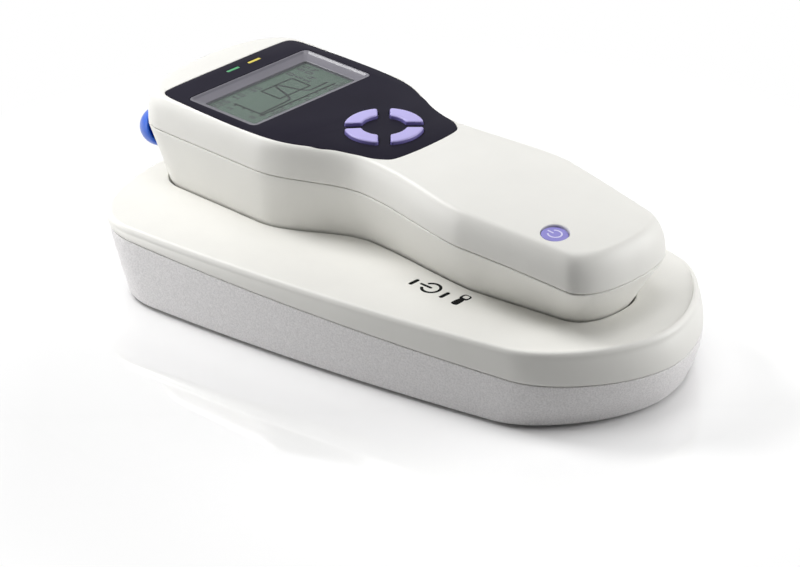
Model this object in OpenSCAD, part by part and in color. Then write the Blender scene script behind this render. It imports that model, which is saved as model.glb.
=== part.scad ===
// Hand-held tympanometer lying in its charging cradle, in millimetres.
// X runs from the probe to the handle end, Z is up and the floor is at zero.
// Places along X are counted from the centre of the key ring, and place() then
// moves every piece so that the middle of the whole object is at the origin.

/* [Cradle] */
// Height of the cradle's top surface
cradle_top = 26.6; // [25:0.1:30]
// Distance from the key ring to the front of the rim
cradle_front = 85.9; // [84.5:0.1:92]
// Distance from the key ring to the handle end of the rim
cradle_end = 118.8; // [114:0.1:125]
// Half width of the rim below the display
cradle_half = 63.4; // [60:0.1:70]
// Half width lost per millimetre towards the handle end
cradle_taper = 0.072; // [0.05:0.001:0.1]
// Half width lost more from there to the handle end, where the plan curves in
cradle_curve = 16.4; // [12:0.1:20]
// Length of the rounded front of the rim
cradle_front_round = 32; // [26:1:38]
// Length of the rounded handle end of the rim
cradle_end_round = 29; // [24:1:36]
// How far the handle end bulges out below the rim
cradle_bulge = 2.5; // [1:0.1:4]
// How far the front wall leans in towards the floor
cradle_front_lean = 10.5; // [8:0.1:12]
// How far the side walls lean in at the floor
cradle_side_lean = 0.4; // [0.2:0.1:2]
// How far the handle end leans in at the floor
cradle_end_lean = 3.2; // [2:0.1:5]
// Wall of the cradle's shells
cradle_wall = 2.2; // [1.9:0.1:2.4]
// Wall of the well that holds the handset
tray_wall = 1.6; // [1.3:0.1:1.8]
// Height of the seam between base and cover below the display
cradle_seam = 22.6; // [21:0.1:23]
// Height lost by that seam per millimetre towards the handle end
cradle_seam_fall = 0.04; // [0.02:0.005:0.045]
// Radius of the rim's soft edge
rim_round = 1.4; // [1:0.1:2]
// Depth of the shallow dish between the handset and the handle end
dish_depth = 2; // [1:0.1:2.4]
// Gap between the base and the floor
foot_gap = 1; // [0.6:0.1:1.5]
// Diameter of the rubber feet
foot_d = 14; // [10:0.5:16]
// Depth to which the feet sink into the base
foot_sink = 1; // [0.6:0.1:1.4]

/* [Handset] */
// Thickness of the handset from its underside to its face
handset_t = 40.5; // [39:0.1:44]
// Depth to which the handset sinks into the cradle
sink = 9.8; // [9:0.1:11]
// Depth of the handset's seam below the face
seam_depth = 11.6; // [10.5:0.1:12]
// Distance from the key ring to the front of the handset
handset_front = 87.2; // [86:0.1:90]
// Distance from the key ring to the handle end of the handset
handset_end = 106.3; // [104:0.1:112]
// Half width of the head at the seam
head_half = 32.9; // [32.4:0.1:35]
// Half width of the waist at the seam
waist_half = 21.9; // [21.4:0.1:24]
// Half width of the handle at the seam
grip_half = 27.7; // [26.5:0.1:30]
// Half width lost per millimetre from there to the handle end
grip_taper = 0.14; // [0.08:0.01:0.18]
// Place where the head starts to narrow
neck_start = -26; // [-28:1:-22]
// Place of the waist
neck_x = 11; // [9:1:14]
// Place where the handle is widest
grip_x = 57; // [50:1:64]
// Length of the rounded front
front_round = 17; // [15:1:20]
// Length of the rounded handle end
end_round = 9.6; // [8:0.1:14]
// How far the front wall leans in from the seam to the cradle's top
front_lean = 7.5; // [7:0.1:8]
// How far the end wall leans in
end_lean = 8; // [7:0.1:9.5]
// How far the head's side walls lean in
head_lean = 1.9; // [1.2:0.1:2.4]
// How far the waist's side walls lean in
waist_lean = 5.2; // [4:0.1:5.6]
// How far the handle's side walls lean in
grip_lean = 8.2; // [7.5:0.1:9]
// How far all walls lean in from the cradle's top to the underside
sole_lean = 4.2; // [3.5:0.1:4.6]
// Radius of the underside's edge
sole_round = 3; // [2:0.1:3.4]
// Width of the shoulder round the head
head_shoulder = 2.9; // [2.5:0.1:3.2]
// Width of the shoulder along the handle
grip_shoulder = 4.4; // [3.8:0.1:6]
// Length of the shoulder at the front
front_shoulder = 5.5; // [5:0.1:6.5]
// Length of the shoulder at the handle end
end_shoulder = 4.8; // [4:0.1:7]
// Drop of the face from the keys to the handle end
face_fall = 5.6; // [5:0.1:8]
// Drop of the seam at the handle end
seam_fall = 5.6; // [4:0.1:7]
// Crown of the handle across its width
crown = 1.2; // [0.6:0.1:1.6]
// Wall of the handset's shells
wall = 2.2; // [1.8:0.1:2.4]
// Thickness of the upper shell under the face, the plate's recess included
roof_t = 3; // [2.8:0.1:3.2]

/* [Face plate and display] */
// Distance from the key ring to the front edge of the face plate
plate_front = 73; // [71:0.1:75]
// Distance from the key ring to the rear edge of the face plate
plate_rear = 19.4; // [18:0.1:21]
// Half width of the plate at the display
plate_half = 31; // [30:0.1:31.2]
// Half width of the plate behind the keys
plate_tail = 15; // [13:0.1:16]
// Thickness of the plate
plate_t = 1.2; // [1:0.1:1.4]
// Place of the display's middle
display_x = -47.45; // [-49:0.05:-46.5]
// Length of the display frame along the handset
display_l = 31.3; // [29:0.1:33]
// Distance between the display frame and the plate's side edges
display_margin = 4; // [3.5:0.1:6]
// Width of the frame's slopes at its ends
slope_l = 4; // [3:0.1:5]
// Width of the frame's slopes at its sides
slope_w = 4; // [3:0.1:5]
// Depth of the window below the face
window_depth = 1.9; // [1.4:0.1:2]
// Thickness of the window pane
pane_t = 0.8; // [0.6:0.1:1]
// Wall of the display frame
frame_wall = 1.3; // [1:0.1:1.5]
// Length of a status light along the handset
light_l = 1.3; // [1:0.1:1.6]
// Width of a status light across the handset
light_w = 5.5; // [4.5:0.1:6]
// Place of the status lights along the handset
light_x = -69.1; // [-69.5:0.1:-68.5]
// Place of the green light across the handset
green_y = -0.7; // [-2:0.1:0]
// Place of the yellow light across the handset
yellow_y = 8.9; // [8:0.1:9.5]

/* [Keys] */
// Outer radius of the ring of arrow keys
key_outer = 13; // [12:0.1:13.5]
// Inner radius of the ring
key_inner = 7.3; // [6.5:0.1:8]
// Gap between neighbouring keys
key_gap = 3.8; // [3.2:0.1:4.4]
// Height of the keys above the face
key_rise = 1.3; // [1:0.1:1.8]
// Width of the flange round a key
key_flange = 0.9; // [0.6:0.1:1]
// Travel of the keys and the power button
travel = 0.8; // [0.5:0.1:0.8]
// Side of a key switch
switch_side = 5; // [4:0.5:6]
// Height of a switch
switch_h = 2; // [1.6:0.1:2.4]
// Diameter of the power button
power_d = 9; // [8:0.1:10]
// Place of the power button along the handset
power_x = 86; // [83:0.5:87]
// Place of the power button across the handset
power_y = -14; // [-14.5:0.5:-12]
// Depth of the recess round the power button
power_recess = 0.5; // [0.3:0.1:0.8]

/* [Probe] */
// Height of the point where the probe leaves the front wall, below the face
probe_depth = 23; // [22:0.1:23.4]
// Distance from the key ring to that point
probe_x = 82; // [81.5:0.1:83]
// Downward tilt of the probe
probe_tilt = 21; // [19:1:23]
// Outer radius of the probe's housing
housing_r = 6; // [5.6:0.1:6.3]
// Radius of the nose cone at its foot
cone_foot_r = 5.5; // [5:0.1:5.5]
// Radius of the nose cone at the ear tip
cone_tip_r = 3.7; // [3.2:0.1:4]
// Length of the probe from the wall to the nose cone's end
probe_l = 33.5; // [32:0.5:35]
// Radius of the sound tube in the nose cone
sound_r = 1.8; // [1.5:0.1:2]
// Distance from the wall to the ear tip's rim
tip_rim = 26.3; // [25:0.1:27]
// Radius of the ear tip's rim
tip_r = 7.1; // [6:0.1:8]
// Length of the ear tip's dome in front of its rim
tip_dome = 8.7; // [8:0.1:10]
// Thickness of the ear tip's rubber
tip_t = 1; // [0.8:0.1:1.3]

/* [Pump] */
// Distance between the pump's axis and the middle of the handset
pump_y = 10; // [9:0.5:11]
// Height of the pump's axis above the handset's floor
pump_rise = 12; // [11:0.5:13]
// Rear end of the pump's motor
pump_rear = -9; // [-12:1:-8]
// Diameter of the motor
motor_d = 14; // [12:0.5:15]
// Length of the motor
motor_l = 18; // [16:1:20]
// Outer diameter of the pump's cylinder
barrel_d = 16; // [15:0.5:16.5]
// Bore of the cylinder
bore_d = 12; // [10:0.5:13]
// Length of the cylinder
barrel_l = 27; // [26:1:28]
// Stroke of the piston
stroke = 12; // [10:1:13]
// Diameter of the lead screw
screw_d = 3; // [2.5:0.1:3.5]

/* [Battery] */
// Diameter of a cell
cell_d = 14.2; // [13.5:0.1:14.4]
// Length of a cell
cell_l = 50; // [48:0.5:50.5]
// Place of the cells' front ends
cell_x = 21.5; // [21:0.1:22]

/* [Fits] */
// Gap between the handset and the walls of the well
well_gap = 0.5; // [0.4:0.1:0.8]
// Gap between the handset and the floor of the well
seat_gap = 0.2; // [0.1:0.05:0.4]
// Gap round pieces that are set into a shell
fit_gap = 0.1; // [0.05:0.01:0.15]
// Gap between two shells at their seam
seam_gap = 0.1; // [0.05:0.01:0.2]
// Gap round keys and buttons
key_clear = 0.25; // [0.2:0.01:0.35]
// Radial clearance of shafts, plungers and pistons
run_clear = 0.05; // [0.03:0.01:0.08]
// Diameter of the handset's screws
small_screw = 2.5; // [2:0.1:3]
// Diameter of the cradle's screws
large_screw = 3; // [2.5:0.1:3.5]

/* [Hidden] */
$fn = 48;
eps = 0.01;
cap_steps = 9;
mid_steps = 14;

// Colours
shell_white = "#ecebe6";
base_white = "#dcdcdb";
plate_dark = "#2e2c38";
key_lilac = "#a9a2dc";
tip_blue = "#1f6fe0";
cone_navy = "#16234f";
board_green = "#2c6b46";
part_black = "#26262a";
part_grey = "#8b8d92";
part_steel = "#b8bcc2";
part_gold = "#d2aa4a";

// Levels of the handset
sole_z = cradle_top - sink;
face_z = sole_z + handset_t;
seam_z = face_z - seam_depth;
floor_z = sole_z + wall;
roof_z = face_z - roof_t;
plate_z = face_z - plate_t;
pane_z = face_z - window_depth - pane_t;
panel_top = pane_z - fit_gap / 2;
flange_top = roof_z - fit_gap;
flange_t = 1;
press_gap = travel + 0.1;
board_t = 1.6;
board_top = flange_top - flange_t - press_gap - switch_h;
board_z = board_top - board_t;
display_w = 2 * (plate_half - display_margin);

// Plans of the handset as front, end and the half widths of head, waist and handle
seam_plan = [-handset_front, handset_end, head_half, waist_half, grip_half];
rim_plan = seam_plan + [front_lean, -end_lean, -head_lean, -waist_lean, -grip_lean];
sole_plan = shrink(rim_plan, sole_lean);

// Levels and places in the cradle
well_z = sole_z - seat_gap;
tray_z = well_z - tray_wall;
ceiling_z = cradle_top - cradle_wall;
base_floor = foot_gap + cradle_wall;
pcb_z = base_floor + 4.5;
pcb_top = pcb_z + board_t;
mate_z = 12;
boss_r = 4.5;
corner_x = [-58, 75];
corner_y = [50, 36];
foot_x = [-50, 88];
foot_y = [34, 24];
pin_x = 2;
pin_y = 7;
pin_r = 1.2;
pin_travel = 1;
indicator_x = [39.7, 52.8];
indicator_y = -28;
bar_l = 4.3;
bar_t = 1.1;
inlet_x = 0;
inlet_z = pcb_top + 5.5;

pcb_x = [-16, 58];
pcb_y = [-34, cradle_half_at(inlet_x) - 16.4];
pcb_post_x = [pcb_x[0] + 4, pcb_x[1] - 4];
pcb_post_y = [pcb_y[0] + 4, pcb_y[1] - 4];

// Screw posts of the handset, each as place and distance from the middle
post_places = [[-69, 16], [-69, -16], [16, 9], [16, -9], [88, 4]];
post_r = 3.25;
post_z = sole_z + 17;
head_z = sole_z + 2 * small_screw;

// The whole object's middle along X
tilt_c = cos(probe_tilt);
tilt_s = sin(probe_tilt);
tip_reach = probe_x + tip_rim * tilt_c + sqrt(pow(tip_dome * tilt_c, 2) + pow(tip_r * tilt_s, 2));
shift_x = (tip_reach - cradle_end - cradle_bulge) / 2;

function mix(a, b, t) = a + (b - a) * t;
function smooth(t) = let (u = max(0, min(1, t))) u * u * (3 - 2 * u);
front_cap = [front_round, 2.5];
end_cap = [end_round, 2.4];
function shrink(p, d) = p + [d, -d, -d, -d, -d];

// Outlines: one side from the front to the end, with its caps as superellipses
function cap_point(tip, dir, cap, half, t) =
    let (x = tip + dir * cap[0] * (1 - pow(cos(t), 2 / cap[1])))
    [x, half(x) * pow(sin(t), 2 / cap[1])];
function side(x0, x1, front, end, half) = [
    for (i = [0 : cap_steps - 1]) cap_point(x0, 1, front, half, 90 * i / cap_steps),
    for (i = [0 : mid_steps])
        let (x = mix(x0 + front[0], x1 - end[0], i / mid_steps)) [x, half(x)],
    for (i = [cap_steps - 1 : -1 : 0]) cap_point(x1, -1, end, half, 90 * i / cap_steps)
];
function ring(s, height) = [
    for (p = s) [p[0], p[1], height(p[0])],
    for (i = [len(s) - 2 : -1 : 1]) [s[i][0], -s[i][1], height(s[i][0])]
];
function level(z) = function (x) z;
function mix_rings(a, b, t, drop) = [
    for (i = [0 : len(a) - 1]) let (p = mix(a[i], b[i], t)) [p[0], p[1], p[2] - drop(p[0])]
];

// A closed skin through a row of rings, with a flat strip of faces over each end
function skin_walls(m, a) = [
    for (i = [0 : m - 1]) let (k = (i + 1) % m)
        each [[a + i, a + k, a + m + k], [a + i, a + m + k, a + m + i]]
];
function strip(q, i, m) =
    concat(i < m / 2 - 1 ? [[q[0], q[1], q[2]]] : [], i > 0 ? [[q[0], q[2], q[3]]] : []);
function skin_cap(m, a, up) = [
    for (i = [0 : m / 2 - 1])
        let (q = [a + i, a + i + 1, a + m - i - 1, a + (m - i) % m])
        for (f = strip(q, i, m)) up ? f : [f[2], f[1], f[0]]
];
module skin(rings) {
    m = len(rings[0]);
    last = len(rings) - 1;
    polyhedron(
        points = [for (r = rings) each r],
        faces = concat(
            skin_cap(m, 0, false),
            [for (j = [0 : last - 1]) each skin_walls(m, j * m)],
            skin_cap(m, last * m, true)
        )
    );
}

// Handset surfaces
function half_at(p, x) =
    p[2] - (p[2] - p[3]) * smooth((x - neck_start) / (neck_x - neck_start))
    + (p[4] - p[3]) * smooth((x - neck_x) / (grip_x - neck_x)) - grip_taper * max(0, x - grip_x);
function fall(x, from, depth) = depth * pow(max(0, (x - from) / (handset_end - from)), 1.5);
function top_at(x) = face_z - fall(x, 22, face_fall);
function seam_at(x) = seam_z - fall(x, 40, seam_fall);
function crown_at(x) = crown * smooth((x - 18) / 32);
function shoulder_at(x) = mix(head_shoulder, grip_shoulder, smooth((x + 20) / 60));
function round_at(x) = mix(3.2, 2, smooth((x + 20) / 60));
function inset_share(phi, x) = 1 - pow(cos(phi), 2 / round_at(x));
function rise_share(phi, x) = pow(sin(phi), 2 / round_at(x));
function plan_side(p, d) =
    side(p[0] + d, p[1] - d, front_cap, end_cap, function (x) half_at(p, x) - d);
function upper_side(phi, d) = side(
    seam_plan[0] + d + front_shoulder * inset_share(phi, seam_plan[0]),
    seam_plan[1] - d - end_shoulder * inset_share(phi, seam_plan[1]),
    front_cap, end_cap,
    function (x) half_at(seam_plan, x) - d - shoulder_at(x) * inset_share(phi, x)
);
function upper_ring(phi, d, roof) = ring(
    upper_side(phi, d),
    function (x) seam_at(x) + rise_share(phi, x) * max(0.2, top_at(x) - roof - seam_at(x))
);
function crown_ring(k, d, roof) = ring(
    side(
        seam_plan[0] + d + front_shoulder + 20 * (1 - k), seam_plan[1] - d - end_shoulder - 20 * (1 - k),
        front_cap, end_cap,
        function (x) k * (half_at(seam_plan, x) - d - shoulder_at(x))
    ),
    function (x) top_at(x) - roof + crown_at(x) * (1 - k * k)
);
function wall_ring(t, d) = ring(
    plan_side(mix(seam_plan, rim_plan, t), d), function (x) mix(seam_at(x) - seam_gap, cradle_top, t)
);
function sole_ring(z, d) = ring(
    plan_side(mix(rim_plan, sole_plan, (cradle_top - z) / sink), d), level(z)
);

// Cradle surfaces
function cradle_seam_at(x) = cradle_seam - cradle_seam_fall * (x + 60);
function cradle_half_at(x) =
    let (u = max(0, (x + 50) / (cradle_end + 50)))
    cradle_half - cradle_taper * (x + 50) - cradle_curve * u * u;
function cradle_side(front, flank, end) = side(
    -cradle_front + front, cradle_end - end,
    [cradle_front_round, 2.4], [cradle_end_round, 1.87],
    function (x) cradle_half_at(x) - flank
);
function cradle_ring(insets, d, height) =
    ring(cradle_side(insets[0] + d, insets[1] + d, insets[2] + d), height);
function band(t) = function (x) mix(cradle_seam_at(x), cradle_top - rim_height, t);
function base_band(t) = function (x) mix(foot_gap + 1.5, cradle_seam_at(x) - seam_gap, t);
cradle_seam_line = function (x) cradle_seam_at(x);
function rim_drop(x) = dish_depth * smooth((x - handset_end + 16) / 12);
seam_inset = [2, 0, -cradle_bulge];
low_inset = [cradle_front_lean - 1.2, cradle_side_lean - 0.4, cradle_end_lean - 1.2];
floor_inset = [cradle_front_lean, cradle_side_lean, cradle_end_lean];
shoulder_inset = [0.5, 0.6, -0.7];
rim_inset = shoulder_inset + [rim_round, rim_round, rim_round + 0.2];
rim_height = 2.2;

// Moves a piece from the key ring's frame to the whole object's frame
module place() {
    translate([shift_x, 0, 0]) children();
}

// Frame of the probe: Z runs outwards along it from the wall
module along_probe(s = 0) {
    translate([-probe_x, 0, face_z - probe_depth]) rotate([0, -90 - probe_tilt, 0])
        translate([0, 0, s]) children();
}

// Frame of the power button: Z runs out of the shell's surface
power_lean = atan((top_at(power_x - 1) - top_at(power_x + 1)) / 2);
module along_power(s = 0) {
    translate([power_x, power_y, top_at(power_x) + 0.8 * crown]) rotate([0, power_lean, 0])
        translate([0, 0, s]) children();
}

// Frame of the pump: Z runs along its axis towards the probe
pump_z = floor_z + pump_rise;
motor_face = pump_rear - motor_l;
barrel_x = motor_face - 3.5;
module along_pump(x) {
    translate([x, pump_y, pump_z]) rotate([0, -90, 0]) children();
}

module at_corners(xs, ys) {
    for (i = [0, 1], s = [-1, 1]) translate([xs[i], s * ys[i], 0]) children();
}

module at_posts() {
    for (p = post_places) translate([p[0], p[1], 0]) children();
}

// Cradle
module cradle_base() {
    color(base_white) place() difference() {
        union() {
            skin([
                cradle_ring(floor_inset, 0, level(foot_gap)),
                cradle_ring(low_inset, 0, base_band(0)),
                cradle_ring(mix(low_inset, seam_inset, 0.35) + [0, -0.2, -0.9], 0, base_band(0.35)),
                cradle_ring(mix(low_inset, seam_inset, 0.7) + [0, -0.2, -0.6], 0, base_band(0.7)),
                cradle_ring(seam_inset, 0, base_band(1)),
                cradle_ring(seam_inset, cradle_wall, base_band(1)),
                cradle_ring(low_inset, cradle_wall + 1, level(base_floor))
            ]);
            at_corners(corner_x, corner_y)
                translate([0, 0, foot_gap + eps]) cylinder(r = boss_r, h = mate_z - foot_gap - eps);
            for (x = pcb_post_x, y = pcb_post_y)
                translate([x, y, base_floor - eps]) cylinder(r = 3, h = pcb_z - base_floor + eps);
        }
        at_corners(corner_x, corner_y) {
            translate([0, 0, -1]) cylinder(d = 2 * large_screw + 0.6, h = 1 + 6);
            translate([0, 0, -1]) cylinder(d = large_screw + 0.4, h = 20);
        }
        at_corners(foot_x, foot_y)
            translate([0, 0, -1]) cylinder(d = foot_d + 2 * fit_gap, h = 1 + foot_gap + foot_sink);
        translate([inlet_x, 0, inlet_z]) rotate([-90, 0, 0])
            cylinder(r = inlet_r + fit_gap, h = 100);
        skin([
            ring(plan_side(sole_plan, -well_gap - tray_wall - room), level(tray_z - room)),
            ring(plan_side(rim_plan, -well_gap - tray_wall - room), level(ceiling_z))
        ]);
    }
}
room = 0.3;

module cradle_cover() {
    color(shell_white) place() difference() {
        union() {
            cover_skin();
            at_corners(corner_x, corner_y)
                translate([0, 0, mate_z]) cylinder(r = boss_r, h = ceiling_z - mate_z + eps);
        }
        at_corners(corner_x, corner_y)
            translate([0, 0, mate_z - 1]) cylinder(d = large_screw + 2 * run_clear, h = 1 + 9);
        for (s = [-1, 1]) translate([pin_x, s * pin_y, tray_z - 1])
            cylinder(r = pin_r + 3 * run_clear, h = tray_wall + 2);
        for (x = indicator_x) translate([x, indicator_y, cradle_top - 5])
            centred(bar_t + 2 * fit_gap, bar_l + 2 * fit_gap, 10);
    }
}

module cover_skin() {
    rim = cradle_ring(rim_inset, 0, level(cradle_top));
    edge = ring(plan_side(rim_plan, -well_gap - 0.4), level(cradle_top));
    inner = ring(plan_side(rim_plan, -well_gap - tray_wall), level(ceiling_z));
    outer = cradle_ring(shoulder_inset, cradle_wall, level(ceiling_z));
    skin([
        ring(plan_side(sole_plan, -well_gap - tray_wall), level(tray_z)),
        inner,
        mix_rings(outer, inner, 0.5, function (x) 0.8 * rim_drop(x)),
        mix_rings(outer, inner, 0.12, function (x) rim_drop(x)),
        outer,
        cradle_ring(seam_inset, cradle_wall, cradle_seam_line),
        cradle_ring(seam_inset, 0, cradle_seam_line),
        cradle_ring(mix(seam_inset, shoulder_inset, 0.3) + [0, -0.1, -0.5], 0, band(0.35)),
        cradle_ring(mix(seam_inset, shoulder_inset, 0.7) + [0, -0.1, -0.4], 0, band(0.7)),
        cradle_ring(shoulder_inset, 0, band(1)),
        for (phi = [15, 40, 65]) cradle_ring(
            mix(shoulder_inset, rim_inset, 1 - cos(phi)), 0, level(cradle_top - rim_height * (1 - sin(phi)))
        ),
        rim,
        mix_rings(rim, edge, 0.12, function (x) rim_drop(x)),
        mix_rings(rim, edge, 0.5, function (x) 0.8 * rim_drop(x)),
        edge,
        ring(plan_side(rim_plan, -well_gap), level(cradle_top - 0.4)),
        ring(plan_side(mix(rim_plan, sole_plan, 1), -well_gap), level(well_z))
    ]);
}

module centred(l, w, h) {
    translate([-l / 2, -w / 2, 0]) cube([l, w, h]);
}

module cradle_feet() {
    color(part_black) place() at_corners(foot_x, foot_y) cylinder(d = foot_d, h = foot_gap + foot_sink);
}

module cradle_screws() {
    color(part_steel) place() at_corners(corner_x, corner_y) {
        translate([0, 0, 6 - 0.6 * large_screw]) cylinder(d = 2 * large_screw, h = 0.6 * large_screw);
        translate([0, 0, 6]) cylinder(d = large_screw, h = mate_z + 2);
    }
}

module cradle_board() {
    color(board_green) place() translate([0, 0, pcb_z]) linear_extrude(board_t) {
        translate([pcb_x[0], pcb_y[0]]) square([pcb_x[1] - pcb_x[0], pcb_y[1] - pcb_y[0]]);
        translate([inlet_x - 8, pcb_y[1] - 1]) square([16, 10]);
    }
}

lamp_h = 1.3;
module indicator_lamps() {
    color("white") place() for (x = indicator_x) translate([x, indicator_y, pcb_top]) centred(2, 3, lamp_h);
}

module indicator_bars() {
    color(part_black) place() for (x = indicator_x) translate([x, indicator_y, 0]) {
        translate([0, 0, pcb_top + lamp_h + 0.3])
            centred(bar_t, bar_l, cradle_top - pcb_top - lamp_h - 0.35);
        translate([0, 0, ceiling_z - 1.3]) centred(bar_t + 2, bar_l + 2, 1.2);
    }
}

sleeve_top = tray_z - 2.2;
module pin_barrels() {
    color(part_gold) place() for (s = [-1, 1]) translate([pin_x, s * pin_y, pcb_top]) difference() {
        cylinder(r = pin_r + 1, h = sleeve_top - pcb_top);
        translate([0, 0, 0.5]) cylinder(r = pin_r + run_clear, h = 20);
    }
}

module charge_pin() {
    tip_z = sole_z - 0.1;
    foot_z = pcb_top + 0.5 + pin_travel + 0.1;
    translate([pin_x, 0, foot_z]) cylinder(r = pin_r, h = tip_z - foot_z - 0.4);
    translate([pin_x, 0, tip_z - 0.4 - eps]) cylinder(r1 = pin_r, r2 = pin_r - 0.4, h = 0.4 + eps);
    translate([pin_x, 0, tray_z - 0.9]) cylinder(r = pin_r + 0.9, h = 0.8);
}

module charge_pin_left() {
    color(part_gold) place() translate([0, -pin_y, 0]) charge_pin();
}

module charge_pin_right() {
    color(part_gold) place() translate([0, pin_y, 0]) charge_pin();
}

inlet_r = 4.6;
inlet_face = cradle_half_at(inlet_x) - cradle_wall / 2;
module power_inlet() {
    color(part_black) place() translate([inlet_x, 0, inlet_z]) difference() {
        union() {
            translate([0, pcb_y[1] + 1, pcb_top - inlet_z]) centred_from(12, 8, 11);
            translate([0, pcb_y[1] + 2, 0]) rotate([-90, 0, 0])
                cylinder(r = inlet_r, h = inlet_face - pcb_y[1] - 2);
        }
        translate([0, pcb_y[1] + 3, 0]) rotate([-90, 0, 0]) difference() {
            cylinder(r = 3.2, h = 30);
            translate([0, 0, -1]) cylinder(r = 1, h = inlet_face - pcb_y[1] - 3);
        }
    }
}

module centred_from(l, w, h) {
    translate([-l / 2, 0, 0]) cube([l, w, h]);
}

// Handset shells
module lower_shell() {
    color(shell_white) place() difference() {
        union() {
            skin([
                sole_ring(sole_z, sole_round),
                sole_ring(sole_z + 0.3 * sole_round, 0.29 * sole_round),
                sole_ring(sole_z + sole_round, 0),
                wall_ring(1, 0),
                wall_ring(0.5, 0),
                wall_ring(0, 0),
                wall_ring(0, wall),
                wall_ring(0.5, wall),
                wall_ring(1, wall),
                sole_ring(floor_z + 0.6 * sole_round, wall),
                sole_ring(floor_z, wall + 0.7 * sole_round)
            ]);
            at_posts() translate([0, 0, sole_z + eps]) cylinder(r = post_r, h = post_z - sole_z - eps);
        }
        at_posts() {
            translate([0, 0, sole_z - 1]) cylinder(d = 2 * small_screw + 0.6, h = 1 + head_z - sole_z);
            translate([0, 0, sole_z - 1]) cylinder(d = small_screw + 0.4, h = 30);
        }
        along_probe(-12) cylinder(r = housing_r + fit_gap, h = 30);
        for (s = [-1, 1]) translate([pin_x, s * pin_y, sole_z - 1])
            cylinder(r = contact_r + fit_gap, h = wall + 2);
    }
}

module upper_shell() {
    color(shell_white) place() difference() {
        union() {
            skin([
                for (k = [0.3, 0.65]) crown_ring(k, wall, roof_t),
                for (phi = [90, 60, 30, 0]) upper_ring(phi, wall, roof_t),
                for (phi = [0, 15, 30, 45, 60, 75, 90]) upper_ring(phi, 0, 0),
                for (k = [0.65, 0.3]) crown_ring(k, 0, 0)
            ]);
            for (p = post_places) translate([p[0], p[1], post_z])
                cylinder(r = post_r, h = top_at(p[0]) - roof_t / 2 - post_z);
            along_power(-6) cylinder(r = power_d / 2 + 1.7, h = 4);
            for (s = [-1, 1]) along_power(power_board_z) translate([s * power_post, 0, 0])
                cylinder(r = 1.3, h = -power_board_z - 1);
        }
        at_posts() translate([0, 0, post_z - 1])
            cylinder(d = small_screw + 2 * run_clear, h = 1 + 3.6 * small_screw);
        translate([0, 0, plate_z]) linear_extrude(10) plate_outline(fit_gap);
        translate([display_x, 0, roof_z - 1]) centred(display_l + 2 * fit_gap, display_w + 2 * fit_gap, 10);
        for (a = [0 : 90 : 270]) rotate(a) translate([0, 0, roof_z - 1]) linear_extrude(10)
            key_arc(key_clear);
        for (y = [green_y, yellow_y]) translate([light_x, y, roof_z - 1])
            centred(light_l + 2 * fit_gap, light_w + 2 * fit_gap, 10);
        along_power(-20) cylinder(d = power_d + 2 * key_clear, h = 40);
        along_power(-power_recess) cylinder(d = power_d + 2 * key_clear + 1, h = 5);
    }
}

module shell_screws() {
    color(part_steel) place() at_posts() {
        translate([0, 0, head_z - 0.7 * small_screw]) cylinder(d = 2 * small_screw, h = 0.7 * small_screw);
        translate([0, 0, head_z]) cylinder(d = small_screw, h = post_z - head_z + 3.2 * small_screw);
    }
}

// Face plate and display
plate_break = -16;
function plate_side(d) = [
    [-plate_front - 0.4 - d, 0], [-plate_front - d, plate_half - 5],
    [-plate_front + 0.5 - d * 0.7, plate_half - 3 + d * 0.7], [-plate_front + 2.6, plate_half - 1.5 + d],
    [display_x - 9, plate_half - 0.4 + d], [display_x + 6, plate_half + d],
    [plate_break - 16, plate_half - 0.1 + d], [plate_break - 5, plate_half - 0.7 + d],
    [plate_break + 1, plate_half - 1.5 + d], [plate_break + 4.5, plate_half - 2.7 + d],
    [plate_break + 7.5, plate_half - 4.4 + d], [plate_break + 11, plate_half - 6.6 + d],
    [plate_break + 16, plate_half - 9 + d], [plate_break + 23, plate_half - 11.2 + d],
    [plate_break + 29, plate_half - 12.6 + d], [plate_rear - 3.2, plate_tail + 1.6 + d * 0.7],
    [plate_rear - 1.7, plate_tail + 0.2 + d * 0.5], [plate_rear - 0.8 + d, plate_tail - 2.5],
    [plate_rear + d, 0]
];
module plate_outline(d) {
    s = plate_side(d);
    polygon([for (p = s) p, for (i = [len(s) - 2 : -1 : 1]) [s[i][0], -s[i][1]]]);
}

module face_plate() {
    color(plate_dark) place() difference() {
        translate([0, 0, plate_z]) linear_extrude(plate_t) plate_outline(0);
        translate([display_x, 0, plate_z - 1])
            centred(display_l + 2 * fit_gap, display_w + 2 * fit_gap, 10);
        for (a = [0 : 90 : 270]) rotate(a) translate([0, 0, plate_z - 1]) linear_extrude(10)
            key_arc(key_clear);
        for (y = [green_y, yellow_y]) translate([light_x, y, plate_z - 1])
            centred(light_l + 2 * fit_gap, light_w + 2 * fit_gap, 10);
    }
}

frame_low = panel_top - 3.2;
module display_frame() {
    color(part_grey) place() translate([display_x, 0, 0]) difference() {
        union() {
            translate([0, 0, frame_low]) centred(display_l, display_w, face_z - 0.2 - frame_low);
            translate([0, 0, flange_top - 1]) centred(display_l + 2.8, display_w - 8, 1);
        }
        translate([0, 0, frame_low - 1])
            centred(
                display_l - 2 * frame_wall, display_w - 2 * frame_wall, pane_z + pane_t - frame_low + 1
            );
        translate([0, 0, pane_z]) centred(display_l - 2 * slope_l, display_w - 2 * slope_w, 10);
        hull() {
            translate([0, 0, pane_z + pane_t + 0.3])
                centred(display_l - 2 * slope_l, display_w - 2 * slope_w, eps);
            translate([0, 0, face_z - 0.2]) centred(display_l - 1.4, display_w - 1.4, 1);
        }
    }
}

module display_window() {
    color("lightcyan", 0.4) place() translate([display_x, 0, pane_z]) centred(
        display_l - 2 * frame_wall - 2 * fit_gap, display_w - 2 * frame_wall - 2 * fit_gap, pane_t - 0.02
    );
}

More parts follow.
